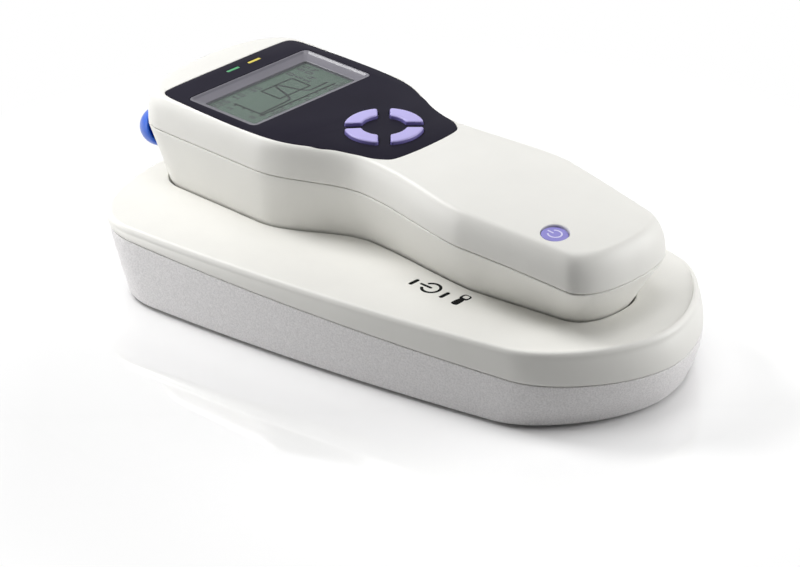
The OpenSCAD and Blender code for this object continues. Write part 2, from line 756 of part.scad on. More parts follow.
module display_panel() {
    color("#8d9a86") place() translate([display_x, 0, board_top + 0.1])
        centred(
            display_l - 2 * frame_wall - 2 * fit_gap, display_w - 2 * frame_wall - 2 * fit_gap,
            panel_top - board_top - 0.1
        );
}

module status_light(y) {
    translate([light_x, y, board_top + 0.1]) centred(light_l, light_w, face_z - 0.05 - board_top - 0.1);
}

module status_light_green() {
    color("#2f7d57") place() status_light(green_y);
}

module status_light_yellow() {
    color("#d8c23c") place() status_light(yellow_y);
}

// Boards, switches and keys
board_half = head_half - 7;
module main_board() {
    color(board_green) place() translate([0, 0, board_z]) linear_extrude(board_t) difference() {
        polygon([
            for (s = [1, -1]) each mirrored(s, [
                [light_x - 3, board_half - 13], [light_x - 3, board_half - 6], [light_x + 3, board_half],
                [neck_start + 6, board_half], [neck_x - 11, 17], [neck_x - 3, 9], [neck_x + 0.4, 5.2]
            ])
        ]);
        for (i = [0, 1]) translate(post_places[i]) circle(r = post_r + 0.35);
    }
}
function mirrored(s, points) = let (n = len(points))
    [for (i = [0 : n - 1]) let (p = points[s > 0 ? i : n - 1 - i]) [p[0], s * p[1]]];

switch_r = (key_outer + key_inner) / 2;
module key_switches() {
    color(part_black) place() for (a = [0 : 90 : 270]) rotate(a)
        translate([switch_r, 0, board_top]) centred(switch_side, switch_side, switch_h);
}

module key_arc(d) {
    intersection() {
        difference() {
            circle(r = key_outer + d);
            circle(r = key_inner - d);
        }
        rotate(-45) translate([key_gap / 2 - d, key_gap / 2 - d]) square(2 * key_outer);
    }
}

module arrow_key(a) {
    color(key_lilac) place() rotate(a) {
        translate([0, 0, flange_top - flange_t]) linear_extrude(flange_t) key_arc(key_flange);
        translate([0, 0, flange_top - eps])
            linear_extrude(face_z + key_rise - flange_top - 0.35 + eps) key_arc(0);
        translate([0, 0, face_z + key_rise - 0.35 - eps]) linear_extrude(0.35 + eps) key_arc(-0.35);
    }
}

module key_up() {
    arrow_key(180);
}

module key_down() {
    arrow_key(0);
}

module key_left() {
    arrow_key(270);
}

module key_right() {
    arrow_key(90);
}

power_flange = -6.2;
power_post = power_d / 2 + 3.1;
power_board_z = power_flange - 1 - press_gap - switch_h;
module power_button() {
    color(key_lilac) place() {
        along_power(power_flange) cylinder(d = power_d, h = -power_flange - 0.6);
        along_power(-0.6 - eps) cylinder(d1 = power_d, d2 = power_d - 0.8, h = 0.3 + eps);
        along_power(power_flange - 1) cylinder(d = power_d + 2, h = 1);
    }
}

module power_switch() {
    color(part_black) place() along_power(power_board_z) centred(switch_side, switch_side, switch_h);
}

module power_board() {
    color(board_green) place() along_power(power_board_z - board_t)
        centred(2 * power_post + 2.8, power_d, board_t);
}

// Battery
tray_floor = 0.6;
cell_low = floor_z + 0.2 + tray_floor + cell_d / 2;
cell_high = cell_low + cell_d + 0.1;
contact_t = 0.4;
tray_half = 11.6;
module battery_tray() {
    color(part_black) place() {
        translate([cell_x - 1.7, -9, floor_z + 0.2]) cube([cell_l + 3.4, 18, tray_floor]);
        for (x = [cell_x - 1.7, cell_x + cell_l + 0.5])
            translate([x, -tray_half, floor_z + 0.2 + tray_floor + 2])
                cube([1.2, 2 * tray_half, 2 * cell_d - 5]);
        for (x = [cell_x - 1.7, cell_x + cell_l + 0.5])
            translate([x, -9, floor_z + 0.2]) cube([1.2, 18, 5]);
    }
}

module battery_cells() {
    color("#3f6f9f") place() for (z = [cell_low, cell_high], s = [-1, 1])
        translate([cell_x, s * (cell_d / 2 + 0.05), z]) rotate([0, 90, 0]) cylinder(d = cell_d, h = cell_l);
}

module battery_contacts() {
    color(part_steel) place() for (x = [cell_x - 0.05 - contact_t, cell_x + cell_l + 0.05])
        for (z = [cell_low, cell_high], s = [-1, 1]) translate([x, s * (cell_d / 2 + 0.05), z])
            rotate([0, 90, 0]) cylinder(d = 0.56 * cell_d, h = contact_t);
}

contact_r = 3;
module charge_contacts() {
    color(part_gold) place() for (s = [-1, 1]) translate([pin_x, s * pin_y, 0]) {
        translate([0, 0, sole_z]) cylinder(r = contact_r, h = wall + 0.5);
        translate([0, 0, floor_z]) cylinder(r = contact_r + 1, h = 0.5);
    }
}

// Probe
spigot_r = cone_tip_r - 1.2;
collar_s = 0.9;
core_s = -5.5;
root_s = -2.33 * housing_r;
module probe_housing() {
    color(cone_navy) place() difference() {
        union() {
            along_probe(root_s) cylinder(r = housing_r, h = collar_s - root_s);
            along_probe(collar_s - eps) cylinder(r = housing_r + 0.3, h = 1.1 + eps);
        }
        along_probe(-20) cylinder(r = housing_r - 1.5, h = 40);
    }
}

module probe_core() {
    color(part_grey) place() {
        along_probe(root_s) cylinder(r = housing_r - 1.5 - run_clear, h = core_s - root_s);
        along_probe(core_s - eps) cylinder(r = sound_r, h = probe_l - core_s + eps);
    }
}

module nose_cone() {
    color(cone_navy) place() along_probe(0) rotate_extrude() polygon([
        [sound_r + run_clear, core_s + 0.3], [housing_r - 1.5 - run_clear, core_s + 0.3],
        [housing_r - 1.5 - run_clear, collar_s + 1.4], [cone_foot_r, collar_s + 1.4],
        [cone_foot_r - 0.3, 8], [mix(cone_foot_r, cone_tip_r, 0.6), 16], [cone_tip_r, tip_rim - 4],
        [cone_tip_r - 0.4, tip_rim - 2.6], [spigot_r, tip_rim - 2.6], [spigot_r, probe_l - 0.5],
        [spigot_r - 0.3, probe_l - 0.1], [sound_r + run_clear, probe_l - 0.1]
    ]);
}

tip_steps = 7;
hub_r = spigot_r + run_clear;
function dome(l, r, t) = [r * cos(t), tip_rim + l * sin(t)];
module ear_tip() {
    mouth = acos(hub_r / tip_r);
    inner_end = acos((hub_r + tip_t) / (tip_r - tip_t));
    color(tip_blue) place() along_probe(0) rotate_extrude() polygon([
        [hub_r, tip_rim - 2], [hub_r + tip_t, tip_rim - 2],
        for (i = [0 : tip_steps]) dome(tip_dome - tip_t, tip_r - tip_t, mix(inner_end, 0, i / tip_steps)),
        for (i = [0 : tip_steps]) dome(tip_dome, tip_r, mix(0, mouth, i / tip_steps))
    ]);
}

module receiver() {
    color(part_steel) place() along_probe(-22) translate([-4, -6, 0]) cube([6.4, 4.2, 7.9]);
}

module microphone() {
    color(part_steel) place() along_probe(-19) translate([4.4, 0.8, 0]) cylinder(r = 2.5, h = 4.9);
}

tube_r = 1.5;
tube_sides = 10;
module air_tube() {
    outwards = [tilt_c, 0, tilt_s];
    port = [-probe_x, 0, face_z - probe_depth] + 14.1 * outwards;
    nipple = [barrel_x - barrel_l - 0.1, pump_y, pump_z];
    color("#c9ccd2") place() swept([nipple, nipple - [4, 0, 0], port + 4 * outwards, port], tube_r);
}

// A round tube swept along a route of points, square to its two ends
function unit(v) = v / norm(v);
function heading(route, i) = let (n = len(route) - 1)
    unit(unit(route[min(n, i + 1)] - route[min(n - 1, i)]) + unit(route[max(1, i)] - route[max(0, i - 1)]));
module swept(route, r) {
    n = len(route);
    rings = [
        for (i = [0 : n - 1])
            let (d = heading(route, i), a = unit(cross([0.1, 0.2, 1], d)), b = cross(d, a))
            [for (k = [0 : tube_sides - 1])
                let (t = -360 * k / tube_sides) route[i] + r * (cos(t) * a + sin(t) * b)]
    ];
    polyhedron(
        points = [for (g = rings) each g],
        faces = concat(
            [[for (k = [tube_sides - 1 : -1 : 0]) k]],
            [for (j = [0 : n - 2]) each skin_walls(tube_sides, j * tube_sides)],
            [[for (k = [0 : tube_sides - 1]) (n - 1) * tube_sides + k]]
        )
    );
}

// Pump, valve and sensor
module release_valve() {
    color(part_grey) place() translate([-50, -pump_y, floor_z + 0.2]) {
        translate([0, -5, 0]) cube([14, 10, 8]);
        translate([7, 0, 8 - eps]) cylinder(r = 3.5, h = 5);
    }
}

module pressure_sensor() {
    color(part_black) place() translate([-25, -19, board_z - 5]) cube([10, 10, 5]);
}

saddle_w = 12;
module pump_frame() {
    color(part_grey) place() difference() {
        union() {
            translate([barrel_x - barrel_l + 2, pump_y - saddle_w / 2, floor_z + 0.2])
                cube([pump_rear - barrel_x + barrel_l - 4, saddle_w, 2]);
            for (x = [barrel_x - barrel_l + 4, barrel_x - 8])
                translate([x, pump_y - saddle_w / 2, floor_z + 0.2]) cube([4, saddle_w, pump_rise - 0.2 - 2]);
            translate([pump_rear - motor_l / 2, pump_y - saddle_w / 2, floor_z + 0.2])
                cube([6, saddle_w, pump_rise - 0.2 - 2]);
        }
        along_pump(barrel_x + 1) cylinder(r = barrel_d / 2 + run_clear, h = barrel_l + 2);
        along_pump(pump_rear + 1) cylinder(r = motor_d / 2 + run_clear, h = motor_l + 2);
    }
}

module pump_motor() {
    color(part_steel) place() along_pump(pump_rear) difference() {
        cylinder(d = motor_d, h = motor_l);
        translate([0, 0, motor_l - 4]) cylinder(d = screw_d + 2 * run_clear, h = 5);
    }
}

module pump_cylinder() {
    color("#d5dbe2") place() along_pump(barrel_x) difference() {
        cylinder(d = barrel_d, h = barrel_l);
        translate([0, 0, -1]) cylinder(d = bore_d, h = barrel_l - 1);
    }
}

piston_x = barrel_x - barrel_l + 2.5 + stroke + 4.5;
module pump_piston() {
    color(part_black) place() along_pump(piston_x) difference() {
        union() {
            cylinder(d = bore_d - 2 * run_clear, h = 4);
            translate([0, 0, piston_x - motor_face + 1])
                cylinder(d = screw_d + 3, h = motor_face - piston_x);
        }
        translate([0, 0, -50]) cylinder(d = screw_d + 2 * run_clear, h = 50 + 3);
    }
}

module pump_screw() {
    color(part_steel) place() along_pump(motor_face + 3.5)
        cylinder(d = screw_d, h = motor_face + 3.5 - piston_x + 2.5);
}

cradle_base();
cradle_cover();
cradle_feet();
cradle_screws();
cradle_board();
indicator_lamps();
indicator_bars();
pin_barrels();
charge_pin_left();
charge_pin_right();
power_inlet();
lower_shell();
upper_shell();
shell_screws();
face_plate();
display_frame();
display_window();
display_panel();
status_light_green();
status_light_yellow();
main_board();
key_switches();
key_up();
key_down();
key_left();
key_right();
power_button();
power_switch();
power_board();
battery_tray();
battery_cells();
battery_contacts();
charge_contacts();
probe_housing();
probe_core();
nose_cone();
ear_tip();
receiver();
microphone();
air_tube();
release_valve();
pressure_sensor();
pump_frame();
pump_motor();
pump_cylinder();
pump_screw();
pump_piston();
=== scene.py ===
import math

import bmesh
import bpy
from mathutils import Matrix, Vector

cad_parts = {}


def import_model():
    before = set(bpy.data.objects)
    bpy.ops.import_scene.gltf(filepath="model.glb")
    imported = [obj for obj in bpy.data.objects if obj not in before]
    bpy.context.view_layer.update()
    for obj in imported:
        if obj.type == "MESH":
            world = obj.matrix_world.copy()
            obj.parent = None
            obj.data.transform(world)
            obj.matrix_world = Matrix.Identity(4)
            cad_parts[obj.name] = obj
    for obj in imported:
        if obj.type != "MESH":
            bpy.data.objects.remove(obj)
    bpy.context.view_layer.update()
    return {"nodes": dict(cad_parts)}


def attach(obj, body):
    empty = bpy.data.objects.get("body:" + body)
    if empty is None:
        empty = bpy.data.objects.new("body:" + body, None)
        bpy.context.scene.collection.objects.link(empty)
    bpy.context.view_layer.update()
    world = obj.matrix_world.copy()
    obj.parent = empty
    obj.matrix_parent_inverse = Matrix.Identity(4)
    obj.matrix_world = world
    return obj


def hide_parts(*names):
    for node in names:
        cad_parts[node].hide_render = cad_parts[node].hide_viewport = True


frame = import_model()

# Sizes are in millimetres. Places along X are counted from the centre of the key ring.
MM = 0.001

# Cradle. Insets and bulges are given at its front, at its flanks and at its handle end.
CRADLE_TOP = 26.6
CRADLE_FRONT = 85.9
CRADLE_END = 118.8
CRADLE_HALF = 63.4
CRADLE_WALL = 2.2
TRAY_WALL = 1.6
TAPER_START = -50
CRADLE_TAPER = 0.072
CRADLE_CURVE = 16.4
FLOOR_INSET = (10.5, 0.4, 3.2)
LOW_INSET = (9.3, 0, 2)
SEAM_INSET = (2, 0, -2.5)
SHOULDER_INSET = (0.5, 0.6, -0.7)
RIM_INSET = (1.9, 2, 0.9)
COVER_BULGE = (0, -0.12, -0.5)
BASE_BULGE = (0, -0.23, -0.9)
RIM_HEIGHT = 2.2
BASE_ROUND = 1.5
BASE_MARGIN = 0.8
CRADLE_SEAM = 22.6
CRADLE_SEAM_START = -60
CRADLE_SEAM_FALL = 0.04
# Length of a rounded end and the power of its curve
CRADLE_FRONT_CAP = (32, 2.4)
CRADLE_END_CAP = (29, 1.87)
# Shallow dish in the top: where it starts and where it is full, from the handset's end
DISH_SPAN = (-16, -4)
DISH_DEPTH = 0.7
DISH_SKEW = 0.45
DISH_FULLNESS = 0.8

# Fittings of the cradle
FOOT_GAP = 1
FOOT_D = 14
FOOT_SINK = 1
FOOT_PLACES = [(-50, 34), (88, 24)]
CORNER_PLACES = [(-58, 50), (75, 36)]
CORNER_HOLE_R = 3.3
PIN_PLACE = (2, 7)
PIN_HOLE_R = 1.35
BAR_PLACES = (39.7, 52.8)
BAR_Y = -28
BAR_SIZE = (1.3, 4.3)
BAR_LOW = 9.2
BAR_SINK = 0.02
BAR_EDGE = 0.1
INLET_Z = 14.8
INLET_R = 4.6
INLET_CUT = (40, 60)

# Signs printed on the cradle
PRINT_T = 0.03
PRINT_SINK = 0.01
PRINT_OVERLAP = 0.002
PRINT_W = 1
PRINT_ROUND = 0.49
POWER_SIGN = (46.5, -27.4)
POWER_SIGN_R = 3
POWER_SIGN_ARC = 153
POWER_SIGN_BAR = (2.2, 5)
HANDSET_SIGN = (58.8, -26.8)
# The small handset's head and its window: place along, length, width and rounding
SIGN_HEAD = (1.9, 3.4, 3.3, 1.1)
SIGN_WINDOW = (2.2, 2.0, 1.9, 0.6)
# Half of its handle, across and along
SIGN_HANDLE = [(0.8, 0.6), (1.15, -0.4), (1.3, -2.6), (1.1, -3.6), (0, -3.9)]

# Handset. A plan holds its front, its end and its half widths at display, waist and grip.
HANDSET_T = 40.5
SINK = 9.8
SEAM_DEPTH = 11.6
SEAM_PLAN = (-87.2, 106.3, 32.9, 21.9, 27.7)
RIM_LEAN = (7.5, -7.1, -1.9, -5.2, -8)
INWARDS = (1, -1, -1, -1, -1)
SOLE_LEAN = 4.2
SOLE_ROUND = 3
GRIP_TAPER = 0.14
NECK_START = -26
NECK_X = 11
GRIP_X = 57
FRONT_CAP = (17, 2.5)
END_CAP = (9.6, 2.4)
WALL = 2.2
ROOF_T = 3
# Roof: how far it falls towards the end, from where, and along what curve
FACE_FALL = 5.6
FACE_FALL_START = 22
SEAM_FALL = 5.6
SEAM_FALL_START = 40
FALL_POWER = 1.5
CROWN = 1.2
CROWN_SPAN = (18, 50)
CROWN_RUN = 20
# Shoulder between roof and side, at the display and at the grip
SHOULDER_SPAN = (-20, 40)
SHOULDER = (2.9, 4.4)
SHOULDER_POWER = (3.2, 2)
FRONT_SHOULDER = 5.5
END_SHOULDER = 4.8
LEAST_RISE = 0.2
SHELL_SCREWS = [(-69, 16), (-69, -16), (16, 9), (16, -9), (88, 4)]
SHELL_SCREW_R = 2.8
CONTACT_R = 3

# Face plate, display, keys and button
PLATE_FRONT = 73
PLATE_REAR = 19.4
PLATE_HALF = 31
PLATE_TAIL = 15
PLATE_BREAK = -16
PLATE_T = 1.2
# Flare at the top of the recess for the plate: from how far below the face, to how far
# above it, and by how much
RECESS_FLARE = (0.15, 0.1, 0.25)
DISPLAY_X = -47.45
DISPLAY_L = 31.3
DISPLAY_W = 54
DISPLAY_ROUND = 2.2
SLOPE = 4
WINDOW_DEPTH = 1.9
PANE_T = 0.8
FRAME_DEPTH = 3.2
FRAME_DROP = 0.08
LIGHT_X = -69.1
LIGHT_SIZE = (1.3, 5.5)
LIGHT_ROUND = 0.4
LIGHT_DROP = 0.06
LIGHT_EDGE = 0.12
GREEN_Y = -0.7
YELLOW_Y = 8.9
KEY_OUTER = 13
KEY_INNER = 7.3
KEY_GAP = 3.8
KEY_RISE = 1.3
KEY_ROUND = 0.9
KEY_FLANGE_T = 1
# Key faces whose normal rises less than this take the darker lilac: painted shade on the keys' sides
KEY_SHADE_SLOPE = 0.35
# The keys' round edge: where it starts above the face and below the top, how far it goes
# back and up, and how far back the flat top starts
KEY_EDGE_LOW = 0.2
KEY_DRAFT = 0.1
KEY_EDGE_DROP = 0.65
KEY_EDGE = (0.55, 0.6)
KEY_FLAT = 1.3
POWER_D = 8.6
POWER_PLACE = (86, -14)
POWER_CROWN = 0.8
POWER_DROP = 0.75
POWER_STEM = 6.3
# The button's round edge, back and up, and its slightly domed top
POWER_EDGE = (0.35, 0.3)
POWER_DOME = 0.05
POWER_DOME_RINGS = (3.4, 2.4, 1.2)
POWER_HOLE = (-12, 4)
POWER_HOLE_EDGE = (0.55, 0.7)
# The sign on it: radius, stroke and reach of its ring, then its bar
MARK_RING = (2.15, 0.55, 140)
MARK_BAR = (-1.75, 0, 2.5, 0.55, 0.26)
MARK_HALF_T = 0.03

# Probe
PROBE_X = 82
PROBE_DEPTH = 23
PROBE_TILT = 21
HOUSING_R = 6
CONE_FOOT_R = 5.5
CONE_TIP_R = 3.7
PROBE_L = 33.5
SOUND_R = 1.8
TIP_RIM = 26.3
TIP_R = 7.1
TIP_DOME = 8.7
TIP_T = 1

# Fits
WELL_GAP = 0.5
SEAT_GAP = 0.2
FIT_GAP = 0.1
KEY_CLEAR = 0.25
SEAM_GAP = 0.22
SEAM_ROUND = 0.35
# How far a cutting solid reaches past what it cuts
OVER = 1

# Levels
SOLE_Z = CRADLE_TOP - SINK
FACE_Z = SOLE_Z + HANDSET_T
SEAM_Z = FACE_Z - SEAM_DEPTH
PLATE_Z = FACE_Z - PLATE_T
PANE_Z = FACE_Z - WINDOW_DEPTH - PANE_T
WELL_Z = SOLE_Z - SEAT_GAP
TRAY_Z = WELL_Z - TRAY_WALL
CEILING_Z = CRADLE_TOP - CRADLE_WALL
BASE_FLOOR = FOOT_GAP + CRADLE_WALL

# Mesh density: numbers of steps, and where rings stand closer
CAP_STEPS = 30
MID_STEPS = 90
ROUND_STEPS = 48
BUTTON_STEPS = 72
TURN_STEPS = 96
ARC_STEPS = 40
CORNER_STEPS = 6
STRAIGHT_STEPS = 16
TOP_SHARES = (0.02, 0.05, 0.09, 0.14, 0.2, 0.28, 0.37, 0.47, 0.58, 0.7, 0.82, 0.92, 1)
SIDE_TURNS = (1, 2.5, 5, 8, 12, 17, 23, 29, 35, 41, 47, 53, 59, 65, 71, 77, 82, 86, 90)
ROOF_SHARES = (0.97, 0.92, 0.85, 0.75, 0.6, 0.45, 0.3, 0.15)
INNER_TURNS = (90, 60, 30, 10, 0)
INNER_ROOF_SHARES = (0.2, 0.5, 0.8)
QUARTER = math.pi / 2

TILT = math.radians(PROBE_TILT)
TIP_REACH = (
    PROBE_X
    + TIP_RIM * math.cos(TILT)
    + math.hypot(TIP_DOME * math.cos(TILT), TIP_R * math.sin(TILT))
)
# Puts the middle of the whole object at the origin
SHIFT_X = (TIP_REACH - CRADLE_END + SEAM_INSET[2]) / 2


def mix(a, b, t):
    if isinstance(a, (tuple, list)):
        return tuple(mix(p, q, t) for p, q in zip(a, b))
    return a + (b - a) * t


def add(a, b, k=1):
    return tuple(p + k * q for p, q in zip(a, b))


def smooth(t):
    t = min(1, max(0, t))
    return t * t * (3 - 2 * t)


def ease(x, span):
    return smooth((x - span[0]) / (span[1] - span[0]))


def steps(first, last, count):
    return [mix(first, last, i / count) for i in range(count + 1)]


def edge_steps(radius, count=4):
    """How far each step of a rounded edge stands back from its two faces."""
    turns = steps(0, QUARTER, count)
    return [(radius * (1 - math.sin(a)), radius * (1 - math.cos(a))) for a in turns]


RIM_PLAN = add(SEAM_PLAN, RIM_LEAN)
SOLE_PLAN = add(RIM_PLAN, INWARDS, SOLE_LEAN)


# Outlines and rings
def cap_point(tip, direction, cap, half, angle):
    length, power = cap
    reach = length * (1 - max(0, math.cos(angle)) ** (2 / power))
    x = tip + direction * reach
    return (x, half(x) * math.sin(angle) ** (2 / power))


def side(x0, x1, front, end, half):
    """One side of a plan between two rounded ends, from front to end."""
    turns = [QUARTER * i / CAP_STEPS for i in range(CAP_STEPS)]
    points = [cap_point(x0, 1, front, half, turn) for turn in turns]
    for x in steps(x0 + front[0], x1 - end[0], MID_STEPS):
        points.append((x, half(x)))
    points += [cap_point(x1, -1, end, half, turn) for turn in reversed(turns)]
    return points


def ring(outline, height):
    near = [(x, y, height(x)) for x, y in outline]
    far = [(x, -y, height(x)) for x, y in reversed(outline[1:-1])]
    return near + far


def level(z):
    return lambda x: z


def half_at(plan, x):
    head, waist, grip = plan[2:]
    narrow = ease(x, (NECK_START, NECK_X))
    widen = ease(x, (NECK_X, GRIP_X))
    half = head - (head - waist) * narrow + (grip - waist) * widen
    return half - GRIP_TAPER * max(0, x - GRIP_X)


def fall(x, start, depth):
    return depth * max(0, (x - start) / (SEAM_PLAN[1] - start)) ** FALL_POWER


def top_at(x):
    return FACE_Z - fall(x, FACE_FALL_START, FACE_FALL)


def seam_at(x):
    return SEAM_Z - fall(x, SEAM_FALL_START, SEAM_FALL)


def crown_at(x):
    return CROWN * ease(x, CROWN_SPAN)


def shoulder_at(x):
    return mix(*SHOULDER, ease(x, SHOULDER_SPAN))


def power_at(x):
    return mix(*SHOULDER_POWER, ease(x, SHOULDER_SPAN))


def inset_share(angle, x):
    return 1 - max(0, math.cos(angle)) ** (2 / power_at(x))


def rise_share(angle, x):
    return math.sin(angle) ** (2 / power_at(x))


def plan_side(plan, inset):
    return side(
        plan[0] + inset,
        plan[1] - inset,
        FRONT_CAP,
        END_CAP,
        lambda x: half_at(plan, x) - inset,
    )


def upper_ring(angle, inset=0, roof=0, lift=0):
    """A ring on the upper shell's side, at a turn from the seam up to the roof's edge."""

    def half(x):
        return half_at(SEAM_PLAN, x) - inset - shoulder_at(x) * inset_share(angle, x)

    def height(x):
        rise = max(LEAST_RISE, top_at(x) - roof - seam_at(x))
        return seam_at(x) + lift + rise_share(angle, x) * (rise - lift)

    front = SEAM_PLAN[0] + inset + FRONT_SHOULDER * inset_share(angle, SEAM_PLAN[0])
    end = SEAM_PLAN[1] - inset - END_SHOULDER * inset_share(angle, SEAM_PLAN[1])
    return ring(side(front, end, FRONT_CAP, END_CAP, half), height)


def crown_ring(share, inset=0, roof=0):
    """A ring on the upper shell's roof, at a share of its half width."""

    def half(x):
        return share * (half_at(SEAM_PLAN, x) - inset - shoulder_at(x))

    def height(x):
        return top_at(x) - roof + crown_at(x) * (1 - share**2)

    back = FRONT_SHOULDER + CROWN_RUN * (1 - share)
    front = SEAM_PLAN[0] + inset + back
    end = SEAM_PLAN[1] - inset - back + FRONT_SHOULDER - END_SHOULDER
    return ring(side(front, end, FRONT_CAP, END_CAP, half), height)


def wall_ring(share, inset=0, drop=0):
    """A ring on the lower shell's wall, at a share of the way from its seam to the cradle."""
    return ring(
        plan_side(mix(SEAM_PLAN, RIM_PLAN, share), inset),
        lambda x: mix(seam_at(x) - SEAM_GAP - drop, CRADLE_TOP, share),
    )


def sole_ring(z, inset=0):
    share = (CRADLE_TOP - z) / SINK
    return ring(plan_side(mix(RIM_PLAN, SOLE_PLAN, share), inset), level(z))


def cradle_seam_at(x):
    return CRADLE_SEAM - CRADLE_SEAM_FALL * (x - CRADLE_SEAM_START)


def cradle_half_at(x):
    share = max(0, (x - TAPER_START) / (CRADLE_END - TAPER_START))
    return CRADLE_HALF - CRADLE_TAPER * (x - TAPER_START) - CRADLE_CURVE * share**2


def cradle_ring(insets, inset, height):
    front, flank, end = add(insets, (1, 1, 1), inset)
    outline = side(
        front - CRADLE_FRONT,
        CRADLE_END - end,
        CRADLE_FRONT_CAP,
        CRADLE_END_CAP,
        lambda x: cradle_half_at(x) - flank,
    )
    return ring(outline, height)


# Mesh building
def world(points):
    return [((x + SHIFT_X) * MM, y * MM, z * MM) for x, y, z in points]


def skin_faces(count, rings, capped=True):
    """Faces between rings. The ends are closed by strips across, from side to side."""
    faces = []
    for j in range(rings - 1):
        a = j * count
        for i in range(count):
            k = (i + 1) % count
            faces.append((a + i, a + k, a + count + k, a + count + i))
    if not capped:
        return faces
    for a in (0, (rings - 1) * count):
        for i in range(count // 2):
            corners = (a + i, a + i + 1, a + count - i - 1, a + (count - i) % count)
            faces.append(tuple(dict.fromkeys(corners)))
    return faces


def loft_faces(count, rings):
    faces = skin_faces(count, rings, capped=False)
    faces.append(tuple(range(count)))
    faces.append(tuple((rings - 1) * count + i for i in range(count)))
    return faces


def tube_faces(count, rings):
    """Faces of a solid whose last ring joins its first."""
    faces = skin_faces(count, rings, capped=False)
    last = (rings - 1) * count
    for i in range(count):
        k = (i + 1) % count
        faces.append((last + i, last + k, k, i))
    return faces


def link(name, data):
    made = bpy.data.objects.new(name, data)
    bpy.context.scene.collection.objects.link(made)
    return made


def new_object(name, points, faces, place=None):
    if place is not None:
        points = [place @ Vector(p) for p in points]
    mesh = bpy.data.meshes.new(name)
    mesh.from_pydata(world(points), [], faces)
    shape = bmesh.new()
    shape.from_mesh(mesh)
    bmesh.ops.recalc_face_normals(shape, faces=shape.faces)
    shape.to_mesh(mesh)
    shape.free()
    return link(name, mesh)


def skin(name, rings):
    points = [p for r in rings for p in r]
    return new_object(name, points, skin_faces(len(rings[0]), len(rings)))


def loft(name, outlines, place=None):
    """A solid through outlines of equal length, each given with its level."""
    points = [(x, y, z) for outline, z in outlines for x, y in outline]
    return new_object(name, points, loft_faces(len(outlines[0][0]), len(outlines)), place)


def column(outline, low, high, place=None):
    """A straight solid on an outline, to cut with or to join with others."""
    return loft("column", [(outline, low), (outline, high)], place)


def turned(name, profile, place):
    """A ring-shaped solid turned from a closed profile of (radius, height)."""
    points = []
    for radius, height in profile:
        for i in range(TURN_STEPS):
            angle = 2 * math.pi * i / TURN_STEPS
            points.append((radius * math.cos(angle), radius * math.sin(angle), height))
    return new_object(name, points, tube_faces(TURN_STEPS, len(profile)), place)


def joined(name, parts):
    """One object from several that don't touch."""
    shape = bmesh.new()
    for part in parts:
        shape.from_mesh(part.data)
        bpy.data.objects.remove(part)
    mesh = bpy.data.meshes.new(name)
    shape.to_mesh(mesh)
    shape.free()
    return link(name, mesh)


def combine(target, cutters):
    """Cuts each of the cutters out of the target."""
    for cutter in cutters:
        modifier = target.modifiers.new("cut", "BOOLEAN")
        modifier.operation = "DIFFERENCE"
        modifier.solver = "MANIFOLD"
        modifier.object = cutter
        graph = bpy.context.evaluated_depsgraph_get()
        mesh = bpy.data.meshes.new_from_object(target.evaluated_get(graph))
        target.modifiers.clear()
        target.data = mesh
        bpy.data.objects.remove(cutter)


def finish_piece(made, material, body, stands_for=(), sharp=32):
    made.data.materials.clear()
    made.data.materials.append(material)
    made.data.shade_smooth()
    made.data.set_sharp_from_angle(angle=math.radians(sharp))
    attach(made, body)
    if stands_for:
        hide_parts(*stands_for)


# Flat outlines
def circle(cx, cy, radius, count=ROUND_STEPS):
    turns = [2 * math.pi * i / count for i in range(count)]
    return [(cx + radius * math.cos(a), cy + radius * math.sin(a)) for a in turns]


def arc(cx, cy, radius, width, reach):
    """A flat ring that is open at one side. It reaches as many degrees both ways."""
    outer = [(radius + width / 2, turn) for turn in steps(-reach, reach, ARC_STEPS)]
    inner = [(radius - width / 2, turn) for turn in steps(reach, -reach, ARC_STEPS)]
    points = []
    for r, turn in outer + inner:
        a = math.radians(turn)
        points.append((cx + r * math.cos(a), cy + r * math.sin(a)))
    return points


def rounded_box(cx, cy, length, width, radius, count=8):
    points = []
    for quarter, (sx, sy) in enumerate([(1, 1), (-1, 1), (-1, -1), (1, -1)]):
        mx = cx + sx * (length / 2 - radius)
        my = cy + sy * (width / 2 - radius)
        for i in range(count + 1):
            a = QUARTER * (quarter + i / count)
            points.append((mx + radius * math.cos(a), my + radius * math.sin(a)))
    return points


def grown(outline, distance):
    """The outline moved outwards along its own normals. It runs anticlockwise."""
    points = []
    count = len(outline)
    for i, (x, y) in enumerate(outline):
        x0, y0 = outline[i - 1]
        x1, y1 = outline[(i + 1) % count]
        length = math.hypot(x1 - x0, y1 - y0)
        nx = (y1 - y0) / length
        ny = (x0 - x1) / length
        points.append((x + distance * nx, y + distance * ny))
    return points


def through(points, count=8):
    """A smooth closed curve through points."""
    curve = []
    n = len(points)
    for i in range(n):
        a, b, c, d = (Vector(points[(i + k) % n]) for k in (-1, 0, 1, 2))
        ta = math.sqrt((b - a).length)
        tb = math.sqrt((c - b).length)
        tc = math.sqrt((d - c).length)
        m1 = (c - b) + tb * ((b - a) / ta - (c - a) / (ta + tb))
        m2 = (c - b) + tb * ((d - c) / tc - (d - b) / (tb + tc))
        for k in range(count):
            t = k / count
            p = (
                (2 * t**3 - 3 * t**2 + 1) * b
                + (t**3 - 2 * t**2 + t) * m1
                + (3 * t**2 - 2 * t**3) * c
                + (t**3 - t**2) * m2
            )
            curve.append(tuple(p))
    return curve


